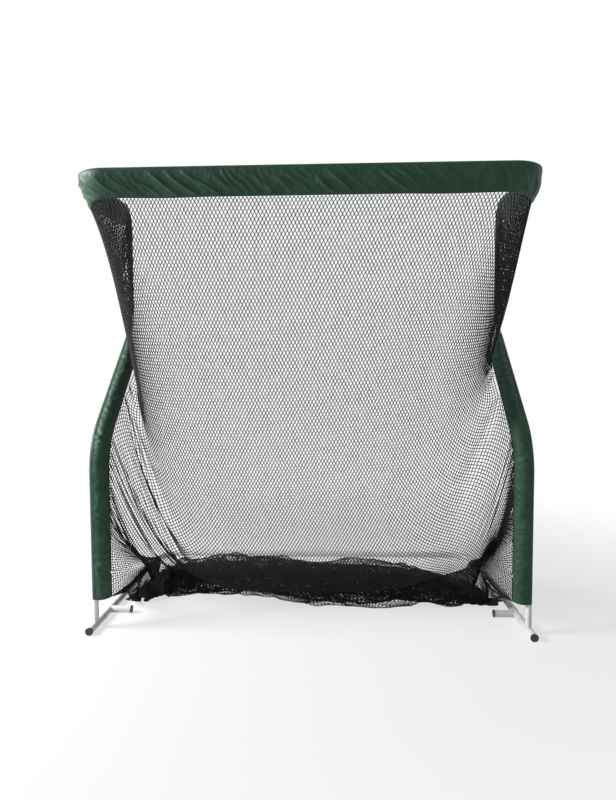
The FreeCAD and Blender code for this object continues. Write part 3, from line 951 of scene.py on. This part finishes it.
@dataclass
class Netting:
    """One net sewn to the frame: its lattice of knots, and the twine between them.

    Places on the net are given as a column from the left edge and a row, in half diamonds, from the top.
    The cut columns are how many are missing at each side, at the cut rows. The levels are the steps at
    which the lattice is settled, each with its moments.
    """

    CUT_ROWS: ClassVar[tuple] = (0, 20, 45, 57, 73, 92, 111, 135, 148, 176, 200, 214)
    CUT_COLUMNS: ClassVar[tuple] = (0, 4, 22, 34, 42, 42, 37, 27, 19, 9, 9, 32)
    LEVELS: ClassVar[tuple] = ((4, 160), (2, 90), (1, 60))
    SWEEPS: ClassVar[int] = 12
    SAG: ClassVar[float] = 0.0004
    DRAG: ClassVar[float] = 0.93
    SPREAD: ClassVar[float] = 0.04
    FLOOR_GAP: ClassVar[float] = 0.004
    CORNER_X: ClassVar[float] = 0.8
    WOBBLE_SEED: ClassVar[int] = 7

    plan: FramePlan
    top_seam: Array
    sleeve_seam: Array
    columns: int = 208
    hem_row: int = 148
    last_row: int = 176
    gather_column: float = 35.0
    gather_rows: float = 12.0
    heap_column: float = 62.0
    spine_columns: float = 12.0
    spine_bunch: float = 0.06
    diamond_w: float = 0.0174
    diamond_h: float = 0.0270
    twine_radius: float = 0.0022
    tail_twine_radius: float = 0.0021
    twine_wobble: float = 0.08
    heap_x: float = 0.80
    edge_reach: float = 0.95
    knot: tuple = (-1.004, 0.452, 0.042)
    hang: tuple = (-0.99, 0.10, 0.30)
    foot_bend: tuple = (-0.955, -0.275, 0.105)
    foot_end: tuple = (-0.938, -0.165, 0.006)
    bunch_back: float = 0.0012
    bunch_up: float = 0.002

    def cut_at(self, row: Array) -> Array:
        """How many columns are cut away at each side, where the frame's waist draws the net in.

        Args:
            row: rows of the net.

        Returns:
            The number of columns for each.
        """
        return np.interp(row, self.CUT_ROWS, self.CUT_COLUMNS)

    @property
    def bar(self) -> float:
        """The length of twine between two knots."""
        return math.hypot(self.diamond_w / 2, self.diamond_h / 2)

    def flat_size(self, first_row: int, rows: int) -> tuple[float, float]:
        """The size of some rows of the net laid flat with square meshes, at their mean width.

        Args:
            first_row: the first of the rows.
            rows: how many there are.

        Returns:
            The width and the height.
        """
        square = self.bar * math.sqrt(2)
        kept = self.columns - 2 * float(np.mean(self.cut_at(first_row + np.arange(rows + 1))))
        return kept * square, rows / 2 * square

    def top_edge(self) -> Centreline:
        """The seam that the net hangs from, from the left spine round the front to the right one."""
        p = self.plan
        ends = np.array([(-p.half, p.spine_y - 0.02, p.top_z), (p.half, p.spine_y - 0.02, p.top_z)])
        ends = p.tilted(ends - vec(0, 0, p.valance_drop))
        corners = [ends[0], *self.top_seam, ends[1]]
        return Centreline(corners, [0.0] * len(self.top_seam))

    def side_edge(self) -> Centreline:
        """The left seam: down the spine, across to the side sleeve, down its sewn edge and to the heap."""
        p = self.plan
        down = self.sleeve_seam[::-1]
        low_hem = vec(-p.half + 0.012, p.spine_y - 0.02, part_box("left_spine_hem")[0].z)
        return Centreline([self.top_edge().points[0], low_hem, *down], [0.0] * len(down))

    def along_top(self, column: Array) -> Array:
        """Places of columns on the top seam, bunched where the net is sewn to the spines."""
        top = self.top_edge()
        marks = [0, self.spine_columns, self.columns - self.spine_columns, self.columns]
        places = [0, self.spine_bunch, top.length - self.spine_bunch, top.length]
        return top.at(np.interp(column, marks, places))

    def loose_edge(self) -> Centreline:
        """The left edge below the side sleeve, down to the floor and along it to the heap."""
        return Centreline([self.side_edge().points[-1], vec(*self.foot_bend), vec(*self.foot_end)], [0.2])

    def on_heap(self, x: Array, row: Array) -> Array:
        """Places on the heap, from where the curtain meets it, over its ridge and down its back.

        Args:
            x: places from left to right.
            row: half diamonds past the curtain's lowest.

        Returns:
            An array of points.
        """
        heap = HeapShape()
        along = np.maximum(row / (self.last_row - self.hem_row), 0.0)
        meet = heap.meet(x)
        y = meet + (heap.back(x) - meet) * along**0.9
        z = heap.high(x) * (0.93 + 0.16 * np.sin(math.pi * np.minimum(along * 1.6, 1.0)) - along**1.6)
        return np.stack([x, y, np.maximum(z, 0.006)], -1)

    def edge_x(self, column: Array) -> Array:
        """Where a column of the net comes down on the heap, from left to right."""
        inner = [self.heap_column, self.columns - self.heap_column]
        places = [-self.edge_reach, -self.heap_x, self.heap_x, self.edge_reach]
        return np.interp(column, [0, *inner, self.columns], places)

    def _mirrored(self, column: Array, left_points: Array) -> Array:
        """Turns places worked out for the left half into those of the half that the column is in."""
        flip = np.where(column > self.columns / 2, -1.0, 1.0)
        return left_points * np.stack([flip, np.ones_like(flip), np.ones_like(flip)], -1)

    def _left_side(self, row: Array) -> Array:
        """Places of the left edge at rows."""
        side, loose = self.side_edge(), self.loose_edge()
        share = row / self.hem_row
        past = (row - self.hem_row) / (self.last_row - self.hem_row)
        sewn = side.at(np.clip(share, 0, 1) * side.length)
        free = loose.at(np.clip(past, 0, 1) * loose.length)
        return np.where((row > self.hem_row)[..., None], free, sewn)

    def _low_line(self, column: Array, row: float) -> Array:
        """First places of one of the two rows that close the lattice: the heap's row and the last one."""
        left = np.minimum(column, self.columns - column)
        start = self._left_side(np.full_like(column, row))
        knot = vec(*(self.hang if row <= self.hem_row else self.knot))
        meets = self.on_heap(self.edge_x(left), np.full_like(left, row - self.hem_row))
        first = np.clip(left / self.gather_column, 0, 1)[..., None]
        past_gather = (left - self.gather_column) / (self.heap_column - self.gather_column)
        second = np.clip(past_gather, 0, 1)[..., None]
        corner = self.on_heap(vec(-self.heap_x), vec(row - self.hem_row))[0]
        bent = np.where(second > 0, knot + (corner - knot) * second, start + (knot - start) * first)
        placed = self._mirrored(column, bent)
        inside = (left >= self.heap_column)[..., None]
        true_heap = self.on_heap(self.edge_x(column), np.full_like(left, row - self.hem_row))
        return np.where(inside, true_heap, placed)

    def start_shape(self, step: int) -> tuple[Array, Array]:
        """A first shape of the net, and which of its knots are held.

        Args:
            step: how many columns and rows of the net lie between two points.

        Returns:
            Points as (row, column, 3), and the held mask.
        """
        count, depth = self.columns // step, self.last_row // step
        row = np.repeat(np.arange(depth + 1)[:, None] * float(step), count + 1, 1)
        column = (np.arange(count + 1)[None, :] + 0.5 * (np.arange(depth + 1)[:, None] % 2)) * float(step)
        column = np.minimum(column, self.columns)
        upper = self.along_top(column)
        heap_line = self._low_line(column, self.hem_row)
        last_line = self._low_line(column, self.last_row)
        cut = self.cut_at(row)
        a = np.clip((column - cut) / (self.columns - 2 * cut), 0, 1)[..., None]
        w = np.clip(row / self.hem_row, 0, 1)[..., None]
        left = self._left_side(row)
        right = left * vec(-1, 1, 1)
        ends = (upper[:1, :1] * (1 - a) + upper[:1, -1:] * a) * (1 - w)
        base_left = self._left_side(np.full_like(row, float(self.hem_row)))
        ends = ends + (base_left * (1 - a) + base_left * vec(-1, 1, 1) * a) * w
        points = upper * (1 - w) + heap_line * w + left * (1 - a) + right * a - ends
        past = np.clip((row - self.hem_row) / (self.last_row - self.hem_row), 0, 1)[..., None]
        points = np.where(past > 0, heap_line * (1 - past) + last_line * past, points)
        held = row == 0
        points[0] = upper[0]
        inside = np.minimum(column, self.columns - column)
        sewn = (inside <= cut) & ((cut > 0) | (row % (2 * step) == 0))
        leftmost = (column < self.columns / 2)[..., None]
        points = np.where((sewn & (row > 0))[..., None], np.where(leftmost, left, right), points)
        held |= sewn
        resting = (row >= self.hem_row) & (inside >= self.heap_column)
        points = np.where(resting[..., None], self.on_heap(self.edge_x(column), row - self.hem_row), points)
        reach = max(2.0, step / 2)
        gathered = (np.abs(inside - self.gather_column) <= reach) & (row >= self.last_row - self.gather_rows)
        back, up = (row - self.last_row) * self.bunch_back, (inside - self.gather_column) * self.bunch_up
        bunch = np.stack([0 * row, back, up], -1)
        tied = self._mirrored(column, vec(*self.knot) + bunch)
        points = np.where(gathered[..., None], tied, points)
        return points, held | resting | gathered

    def knit(self, cloth: Drape, step: int, size: tuple[int, int]) -> None:
        """Ties the twine between the knots.

        Args:
            cloth: the net's points.
            step: how many columns and rows of the net lie between two points.
            size: rows and columns of points.
        """
        bar, width, height = self.bar * step, self.diamond_w * step, self.diamond_h * step
        at = np.arange(size[0] * size[1]).reshape(size)
        for parity in (0, 1):
            below = at[parity + 1 :: 2]
            above = at[parity::2][: len(below)]
            pairs = [(above, below), (above[:, 1:], below[:, :-1])]
            if parity == 1:
                pairs = [(above[:, :-1], below[:, 1:]), (above, below)]
            for a, b in pairs:
                cloth.tie(a.ravel(), b.ravel(), np.full(a.size, bar), 1.0, True)
        for start in (0, 1):
            a, b = at[:, start:-1:2], at[:, start + 1 :: 2]
            n = min(a.shape[1], b.shape[1])
            cloth.tie(a[:, :n].ravel(), b[:, :n].ravel(), np.full(a[:, :n].size, width), self.SPREAD)
        for start in (0, 1, 2, 3):
            a, b = at[start:-2:4], at[start + 2 :: 4]
            n = min(len(a), len(b))
            cloth.tie(a[:n].ravel(), b[:n].ravel(), np.full(a[:n].size, height), self.SPREAD)

    def settle(self) -> Array:
        """Hangs the net, first as a coarse lattice and then knot by knot.

        Returns:
            The knots as (row, column, 3).
        """
        border = self.loose_edge().points[[0, -1]]

        def stay_in(p: Array) -> None:
            p[:, 2] = np.maximum(p[:, 2], self.FLOOR_GAP)
            front = np.interp(p[:, 2], border[::-1, 2], border[::-1, 1])
            near = (np.abs(p[:, 0]) > self.CORNER_X) & (p[:, 2] < border[0, 2])
            p[:, 1] = np.where(near, np.maximum(p[:, 1], front), p[:, 1])

        shape = None
        for step, moments in self.LEVELS:
            points, held = self.start_shape(step)
            if shape is not None:
                points = np.where(held[..., None], points, self.finer(shape, points.shape[:2]))
            cloth = Drape(points.reshape(-1, 3), held.ravel())
            self.knit(cloth, step, points.shape[:2])
            cloth.settle(moments, self.SWEEPS, vec(0, 0, -self.SAG * step), self.DRAG, [stay_in])
            shape = cloth.points.reshape(points.shape)
        return shape

    @staticmethod
    def finer(shape: Array, size: tuple[int, int]) -> Array:
        """A coarse lattice read at the knots of a finer one.

        Args:
            shape: the coarse knots.
            size: rows and columns of the finer lattice.

        Returns:
            The finer knots.
        """
        rows, columns = size
        old_rows, old_columns = shape.shape[:2]
        even = np.linspace(0, 1, old_columns)
        half_step = 0.5 / (old_columns - 1)
        aligned = np.empty_like(shape)
        for j in range(old_rows):
            places = np.minimum(even + half_step * (j % 2), 1.0)
            for k in range(3):
                aligned[j, :, k] = np.interp(even, places, shape[j, :, k])
        out = np.empty((rows, columns, 3))
        for j in range(rows):
            v = j / (rows - 1) * (old_rows - 1)
            low = min(int(v), old_rows - 2)
            row = aligned[low] + (aligned[low + 1] - aligned[low]) * (v - low)
            u = np.minimum((np.arange(columns) + 0.5 * (j % 2)) / (columns - 1), 1.0)
            for k in range(3):
                out[j, :, k] = np.interp(u, even, row[:, k])
        return out

    def strands(
        self, name: str, knots: Array, first_row: int, finish: bpy.types.Material
    ) -> bpy.types.Object:
        """Builds the twine between the knots of some rows.

        Args:
            name: the piece's name.
            knots: the knots as (row, column, 3).
            first_row: the number of the first row in the whole net, odd or even.
            finish: the twine's material.

        Returns:
            The piece.
        """
        rows, columns = knots.shape[:2]
        row = np.arange(rows)
        odd = ((row + first_row) % 2).astype(int)
        place = np.arange(columns)[None, :] + 0.5 * odd[:, None]
        inside, cut = np.minimum(place, columns - 1 - place), self.cut_at(row + first_row)[:, None]
        points, faces, base = [], [], 0
        rng = np.random.default_rng(self.WOBBLE_SEED)
        thickness = self.twine_radius if first_row < self.hem_row else self.tail_twine_radius
        for lean in (1, -1):
            column = np.arange(columns)[None, :]
            shift = np.where(odd[:, None] == 1, (1 + lean) // 2, (lean - 1) // 2)
            below = column + shift
            target = np.clip(below, 0, columns - 1)
            after = knots.copy()
            after[:-1] = np.take_along_axis(knots[1:], target[:-1, :, None].repeat(3, 2), 1)
            valid = (below >= 0) & (below < columns) & (inside >= cut - 1.0)
            valid[-1] = False
            tangent = after - knots
            tangent[-1] = tangent[-2]
            tangent[~valid & (row[:, None] < rows - 1)] = vec(0, 0.01, -1)
            tangent = unit(tangent)
            across = np.gradient(knots, axis=1)
            normal = unit(np.cross(across, tangent))
            side = np.cross(tangent, normal)
            radius = thickness * (1 + self.twine_wobble * rng.standard_normal((rows, columns, 1)))
            for k in range(3):
                angle = 2 * math.pi * k / 3 + math.pi
                ring = knots + radius * (math.cos(angle) * normal + math.sin(angle) * side)
                points.append(ring.reshape(-1, 3))
            size = rows * columns
            at = np.arange(size).reshape(rows, columns)
            a = at[:-1][valid[:-1]]
            b = (at[1:, 0][:, None] + target[:-1])[valid[:-1]]
            for k, m in ((0, 1), (1, 2), (2, 0)):
                faces.append(base + np.stack([a + k * size, b + k * size, b + m * size, a + m * size], -1))
            base += 3 * size
        joined = np.concatenate(faces)
        used, renumbered = np.unique(joined, return_inverse=True)
        return mesh_piece(name, np.concatenate(points)[used], renumbered.reshape(joined.shape), finish)


class HeapShape:
    """The outline of the spare netting on the floor, from left to right."""

    PROFILE = (
        # x, front, back, height, and where the curtain comes down
        (-1.0, -0.13, 0.10, 0.02, -0.06),
        (-0.9, -0.15, 0.20, 0.055, -0.02),
        (-0.78, -0.07, 0.28, 0.130, 0.0),
        (-0.56, -0.04, 0.31, 0.150, 0.01),
        (-0.4, -0.05, 0.31, 0.150, 0.01),
        (-0.23, -0.07, 0.30, 0.156, 0.0),
        (-0.13, -0.13, 0.30, 0.150, -0.01),
        (-0.03, -0.19, 0.29, 0.145, -0.02),
        (0.17, -0.20, 0.29, 0.146, -0.02),
        (0.34, -0.19, 0.28, 0.142, -0.02),
        (0.5, -0.19, 0.26, 0.135, -0.03),
        (0.67, -0.18, 0.22, 0.105, -0.04),
        (0.78, -0.17, 0.17, 0.075, -0.06),
        (0.88, -0.16, 0.11, 0.04, -0.07),
        (1.0, -0.10, 0.02, 0.02, -0.06),
    )

    def _read(self, x: Array, measure: int) -> Array:
        """One measure of the profile at places from left to right."""
        profile = np.array(self.PROFILE)
        return np.interp(x, profile[:, 0], profile[:, measure])

    def front(self, x: Array) -> Array:
        """The front edge."""
        return self._read(x, 1)

    def back(self, x: Array) -> Array:
        """The back edge."""
        return self._read(x, 2)

    def high(self, x: Array) -> Array:
        """The ridge's height."""
        return self._read(x, 3)

    def meet(self, x: Array) -> Array:
        """Where the curtain comes down on it."""
        return self._read(x, 4)


@dataclass
class Heap:
    """The spare netting that lies folded on the floor below the curtain.

    Each row of the crumple is an axis, the waves down and across, and how far they push the net that way.
    """

    CRUMPLE: ClassVar[tuple] = (
        (2, 26, 30, 0.014),
        (2, 52, 70, 0.008),
        (1, 24, 30, 0.014),
        (1, 50, 64, 0.007),
        (0, 22, 40, 0.014),
    )

    net: Netting
    rows: int = 216
    turns: float = 3.4
    join_rows: float = 26.0
    ends: tuple = (-1.06, -0.80, 0.80, 1.06)
    overhang: float = 0.02
    floor_gap: float = 0.003
    seed: int = 4

    def knots(self, foot: Array) -> Array:
        """Folds the net's tail into a heap.

        Args:
            foot: the knots of the row above the tail.

        Returns:
            The knots as (row, column, 3).
        """
        shape = HeapShape()
        rows, columns = self.rows + 1, len(foot)
        rng = np.random.default_rng(self.seed)
        marks = [0, self.net.heap_column, self.net.columns - self.net.heap_column, self.net.columns]
        x = np.interp(np.arange(columns), marks, self.ends)
        front, back, high = shape.front(x)[None] - self.overhang, shape.back(x)[None], shape.high(x)[None]
        v = np.linspace(0, 1, rows)[:, None]
        turn = -v * self.turns * 2 * math.pi
        shrink = 1 - 0.5 * v
        reach = np.sign(np.cos(turn)) * np.abs(np.cos(turn)) ** 0.7
        y = (front + back) / 2 + (back - front) / 2 * shrink * reach
        over, under = np.maximum(np.sin(turn), 0.0) ** 0.55, np.maximum(-np.sin(turn), 0.0)
        z = high * (1.04 - 0.5 * v) * over + 0.006 + 0.03 * v * under
        points = np.stack([np.repeat(x[None], rows, 0), y, z], -1)
        low = np.minimum(high / 0.08, 1.0)
        for axis, tall, wide, push in self.CRUMPLE:
            points[..., axis] += waves(rng, rows, columns, tall, wide) * push * (low if axis == 2 else 1.0)
        points[..., 2] = np.clip(points[..., 2], self.floor_gap, high * 1.08 + 0.006)
        join = smooth(np.arange(rows)[:, None, None] / self.join_rows)
        points = foot[None] * (1 - join) + points * join
        points[..., 2] = np.maximum(points[..., 2], self.floor_gap)
        return points


@dataclass(frozen=True)
class Place:
    """Where a sleeve goes: its node, side, finish, slot, flat size, what it lies on and its body."""

    node: str
    side: Side | None
    finish: bpy.types.Material
    slot: str
    flat: tuple
    rests_on: tuple
    body: str


@dataclass
class ChippingNet:
    """The whole object: its frame, sleeves and netting, each made in order."""

    plan: FramePlan
    finishes: Finishes

    def build(self) -> None:
        """Makes and mounts every piece."""
        TubeFrame(self.finishes).dress()
        top_seam = self._top_sleeve()
        side_seams = [self._side_sleeve(side) for side in Side]
        for side in Side:
            self._arm_sleeve(side)
            self._spine_hem(side)
        self._netting(top_seam, side_seams[0])

    def _sew(self, sleeve: Sleeve, place: Place) -> None:
        """Drapes a sleeve and puts it in the place of its node.

        Args:
            sleeve: the sleeve, laid out for the left side.
            place: where it goes. Its side is None for a sleeve that spans both.
        """
        points, faces = sleeve.drape()
        flat = points.reshape(-1, 3)
        if place.side is Side.RIGHT:
            flat = flat * vec(-1, 1, 1)
        if place.side is None:
            flat = self.plan.tilted(flat)
        piece = mesh_piece(f"{place.node}_cloth", flat, faces, place.finish)
        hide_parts(place.node)
        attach(piece, place.body)
        LOG.info("%s: %d points", place.node, len(flat))

    def _top_sleeve(self) -> Array:
        """The sleeve round the top bar and its corners.

        Returns:
            Its sewn edge.
        """
        p = self.plan
        tail = p.top_y + p.top_corner_bend + 0.08
        corners = [vec(-p.half, tail, p.top_z), vec(-p.half, p.top_y, p.top_z)]
        corners += [vec(p.half, p.top_y, p.top_z), vec(p.half, tail, p.top_z)]
        sleeve = Sleeve(
            line=Centreline(corners, [p.top_corner_bend] * 2),
            down=vec(0, 0, -1),
            wrap_radius=0.0142,
            drop=p.valance_drop,
            folds=(
                Fold(0.085, 0.014, 1.2, sharp=4.0, wander=0.35),
                Fold(0.05, 0.006, 1.4, sharp=3.0, wander=0.4),
                Fold(0.024, 0.002, 1.8, sharp=1.6, wander=0.4),
            ),
            pitch=0.005,
            puff=0.009,
            tuck=0.5,
            seed=11,
        )
        flat = (sleeve.line.length, 2 * p.valance_drop + 0.045)
        rests_on = ("left_top_bar", "right_top_bar")
        place = Place("top_sleeve", None, self.finishes.nylon, "green_cloth", flat, rests_on, "canopy")
        self._sew(sleeve, place)
        return p.tilted(sleeve.seam())

    def _side_sleeve(self, side: Side) -> Array:
        """The sleeve round one upright, up to its waist.

        Args:
            side: which upright.

        Returns:
            Its sewn edge, as laid out for the left upright.
        """
        turned = math.radians(22)
        sleeve = Sleeve(
            line=self.plan.upright_line(0.146, 0.078),
            down=vec(math.cos(turned), math.sin(turned), 0),
            wrap_radius=0.0150,
            drop=0.074,
            folds=(Fold(0.058, 0.009, 0.6, sharp=2.6, wander=0.8), Fold(0.030, 0.005, -0.7, wander=0.8)),
            puff=0.018,
            taper=0.22,
            seed=21 + side.value,
        )
        node, flat = f"{side.word}_side_sleeve", (sleeve.line.length, 0.2165)
        rests_on = (f"{side.word}_upright",)
        self._sew(sleeve, Place(node, side, self.finishes.nylon, "green_cloth", flat, rests_on, "uprights"))
        return sleeve.seam()

    def _arm_sleeve(self, side: Side) -> None:
        """The sleeve round one arm and its shoulder, in the green nylon with painted shade.

        Args:
            side: which arm.
        """
        p = self.plan
        node = f"{side.word}_arm_sleeve"
        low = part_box(node)[0]
        front = p.tilted(vec(-p.half, low.y, p.top_z))
        corners = [front, vec(-p.half, p.spine_y, p.shoulder_z), vec(-p.half, p.spine_y, low.z)]
        sleeve = Sleeve(
            line=Centreline(corners, [p.shoulder_bend]),
            down=vec(0, -0.25, -1),
            wrap_radius=0.0152,
            drop=p.valance_drop,
            folds=(Fold(0.06, 0.006, 0.8), Fold(0.03, 0.003, -0.4)),
            taper=0.28,
            taper_to=0.18,
            seed=31,
        )
        flat = (sleeve.line.length, 1.55 * p.valance_drop + 0.045)
        rests_on = (f"{side.word}_spine_arm",)
        # The arm sleeve wears the green nylon with shade painted into its colour.
        self._sew(sleeve, Place(node, side, self.finishes.shaded_nylon, "green_cloth", flat, rests_on, "canopy"))

    def _spine_hem(self, side: Side) -> None:
        """The black hem sewn round one spine.

        Args:
            side: which spine.
        """
        p = self.plan
        node = f"{side.word}_spine_hem"
        low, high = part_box(node)
        sleeve = Sleeve(
            line=Centreline([vec(-p.half, p.spine_y, low.z), vec(-p.half, p.spine_y, high.z)], []),
            down=vec(0, -1, 0),
            wrap_radius=0.0152,
            drop=0.021,
            folds=(Fold(0.04, 0.002, 0.3),),
            puff=0.0,
            seed=41,
        )
        flat, rests_on = (sleeve.line.length, 0.086), (f"{side.word}_spine_arm",)
        # The hem wears the dark hem cloth with painted shade.
        self._sew(sleeve, Place(node, side, self.finishes.hem, "black_hem", flat, rests_on, "canopy"))

    def _netting(self, top_seam: Array, side_seam: Array) -> None:
        """The net and its tail on the floor, in place of the hidden net nodes.

        Args:
            top_seam: the top sleeve's sewn edge.
            side_seam: the left side sleeve's sewn edge.
        """
        net, twine = Netting(self.plan, top_seam, side_seam), self.finishes.twine
        knots = net.settle()
        heap = Heap(net)
        tail = heap.knots(knots[-1])
        split = net.hem_row // 2
        hem = net.hem_row
        cuts = {
            "net_upper": knots[: split + 1],
            "net_lower": knots[split : hem + 1],
            "net_skirt": knots[hem:],
        }
        folds = [tail[k : k + heap.rows // 3 + 1] for k in range(0, heap.rows, heap.rows // 3)]
        cuts.update({f"net_tail_{k}": fold for k, fold in enumerate(folds, 1)})
        first, pieces = 0, {}
        for name, part in cuts.items():
            piece = net.strands(name, part, first, twine)
            net.flat_size(first, len(part) - 1)
            first += len(part) - 1
            pieces[name] = piece
        sides = [f"{side.word}_{part}" for side in Side for part in ("net_wing", "upper_side_net")]
        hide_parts("net_curtain", *sides)
        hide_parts(*(f"{side.word}_lower_side_net" for side in Side))
        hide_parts(*(f"{side.word}_net_corner" for side in Side))
        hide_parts("net_heap")
        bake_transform(pieces["net_upper"])
        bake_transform(pieces["net_lower"])
        for name in ("net_skirt", "net_tail_1"):
            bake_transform(pieces[name])
        for name in ("net_tail_2", "net_tail_3"):
            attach(pieces[name], "base")
        LOG.info("netting: %d knots", knots.size // 3 + tail.size // 3)


@dataclass(frozen=True)
class View:
    """The photograph's view, as a lens and a place."""

    focal_px: float = 577.9
    frame_px: float = 800.0
    film_mm: float = 36.0
    place: tuple = (0.107, -3.205, 1.275)
    pitch_deg: float = 3.26
    yaw_deg: float = 2.26
    roll_deg: float = -0.24

    def set_up(self) -> bpy.types.Object:
        """Makes the camera and looks through it."""
        data = bpy.data.cameras.new("camera")
        data.sensor_fit = "AUTO"
        data.sensor_width = self.film_mm
        data.lens = self.focal_px * self.film_mm / self.frame_px
        camera = bpy.data.objects.new("camera", data)
        bpy.context.scene.collection.objects.link(camera)
        turned = Euler((math.radians(90 - self.pitch_deg), 0, math.radians(self.yaw_deg)), "XYZ").to_matrix()
        rolled = turned @ Matrix.Rotation(math.radians(self.roll_deg), 3, "Z")
        camera.matrix_world = Matrix.Translation(self.place) @ rolled.to_4x4()
        bpy.context.scene.camera = camera
        return camera


@dataclass(frozen=True)
class Studio:
    """A pale floor and soft light, with the key on the golfer's left."""

    key_watts: float = 440.0
    fill_watts: float = 8.0
    sky: float = 0.19
    floor_colour: tuple = (0.80, 0.80, 0.80)
    floor_glow: float = 0.66
    floor_half: float = 40.0
    floor_roughness: float = 0.9
    shadow_fades: float = 1.2
    shadow_reach: float = 3.4

    def set_up(self) -> None:
        """Makes the floor, the lamps and the world."""
        self._floor()
        self._lamp("key", (-4.7, -1.05, 3.0), (0.0, -0.3, 1.2), 1.6, self.key_watts)
        self._lamp("fill", (3.0, -4.4, 2.4), (0.0, 0.0, 0.9), 3.0, self.fill_watts)
        self._world()
        bpy.context.scene.view_settings.view_transform = "Standard"

    @staticmethod
    def _seen(tree: bpy.types.NodeTree) -> bpy.types.NodeSocket:
        """A mask for what the eye, a reflection or glass sees, and not what lights the object."""
        path = tree.nodes.new("ShaderNodeLightPath")
        total = path.outputs["Is Camera Ray"]
        for name in ("Is Glossy Ray", "Is Transmission Ray"):
            plus = tree.nodes.new("ShaderNodeMath")
            plus.operation, plus.use_clamp = "ADD", True
            tree.links.new(total, plus.inputs[0])
            tree.links.new(path.outputs[name], plus.inputs[1])
            total = plus.outputs[0]
        return total

    def _floor(self) -> None:
        """A wide floor that looks white and keeps the shadow."""
        material = bpy.data.materials.new("studio floor")
        material.use_nodes = True
        tree = material.node_tree
        shader, out = tree.nodes["Principled BSDF"], tree.nodes["Material Output"]
        shader.inputs["Base Color"].default_value = (*self.floor_colour, 1.0)
        shader.inputs["Roughness"].default_value = self.floor_roughness
        glow, mix = tree.nodes.new("ShaderNodeEmission"), tree.nodes.new("ShaderNodeMixShader")
        place, far = tree.nodes.new("ShaderNodeTexCoord"), tree.nodes.new("ShaderNodeVectorMath")
        far.operation = "LENGTH"
        tree.links.new(place.outputs["Object"], far.inputs[0])
        fade = tree.nodes.new("ShaderNodeMapRange")
        fade.interpolation_type = "SMOOTHSTEP"
        fade.inputs["From Min"].default_value = self.shadow_fades
        fade.inputs["From Max"].default_value = self.shadow_reach
        fade.inputs["To Min"].default_value = self.floor_glow
        tree.links.new(far.outputs["Value"], fade.inputs["Value"])
        share = tree.nodes.new("ShaderNodeMath")
        share.operation = "MULTIPLY"
        tree.links.new(self._seen(tree), share.inputs[0])
        tree.links.new(fade.outputs["Result"], share.inputs[1])
        tree.links.new(share.outputs[0], mix.inputs["Fac"])
        tree.links.new(shader.outputs["BSDF"], mix.inputs[1])
        tree.links.new(glow.outputs["Emission"], mix.inputs[2])
        tree.links.new(mix.outputs[0], out.inputs["Surface"])
        points = np.array([(-1, -1, 0), (1, -1, 0), (1, 1, 0), (-1, 1, 0)]) * self.floor_half
        mesh_piece("floor", points, np.array([[0, 1, 2, 3]]), material)

    @staticmethod
    def _lamp(name: str, place: tuple, target: tuple, size: float, watts: float) -> None:
        """A square soft lamp.

        Args:
            name: its name.
            place: where it stands.
            target: what it points at.
            size: the length of its sides.
            watts: its power.
        """
        data = bpy.data.lights.new(name, "AREA")
        data.energy, data.size = watts, size
        lamp = bpy.data.objects.new(name, data)
        bpy.context.scene.collection.objects.link(lamp)
        aim = Vector(target) - Vector(place)
        lamp.rotation_euler = aim.to_track_quat("-Z", "Y").to_euler()
        lamp.location = place

    def _world(self) -> None:
        """A plain sky that lights softly and is white to the eye."""
        world = bpy.data.worlds.new("studio")
        bpy.context.scene.world = world
        world.use_nodes = True
        tree = world.node_tree
        tree.nodes.clear()
        lit, seen = tree.nodes.new("ShaderNodeBackground"), tree.nodes.new("ShaderNodeBackground")
        lit.inputs["Color"].default_value = seen.inputs["Color"].default_value = (1.0, 1.0, 1.0, 1.0)
        lit.inputs["Strength"].default_value = self.sky
        mix, out = tree.nodes.new("ShaderNodeMixShader"), tree.nodes.new("ShaderNodeOutputWorld")
        tree.links.new(self._seen(tree), mix.inputs["Fac"])
        tree.links.new(lit.outputs[0], mix.inputs[1])
        tree.links.new(seen.outputs[0], mix.inputs[2])
        tree.links.new(mix.outputs[0], out.inputs["Surface"])


def main() -> None:
    """Builds the scene, piece by piece."""
    logging.basicConfig(level=logging.INFO, format="%(name)s: %(message)s")
    View().set_up()
    Studio().set_up()
    ChippingNet(FramePlan(), Finishes()).build()


if __name__ == "__main__":
    main()
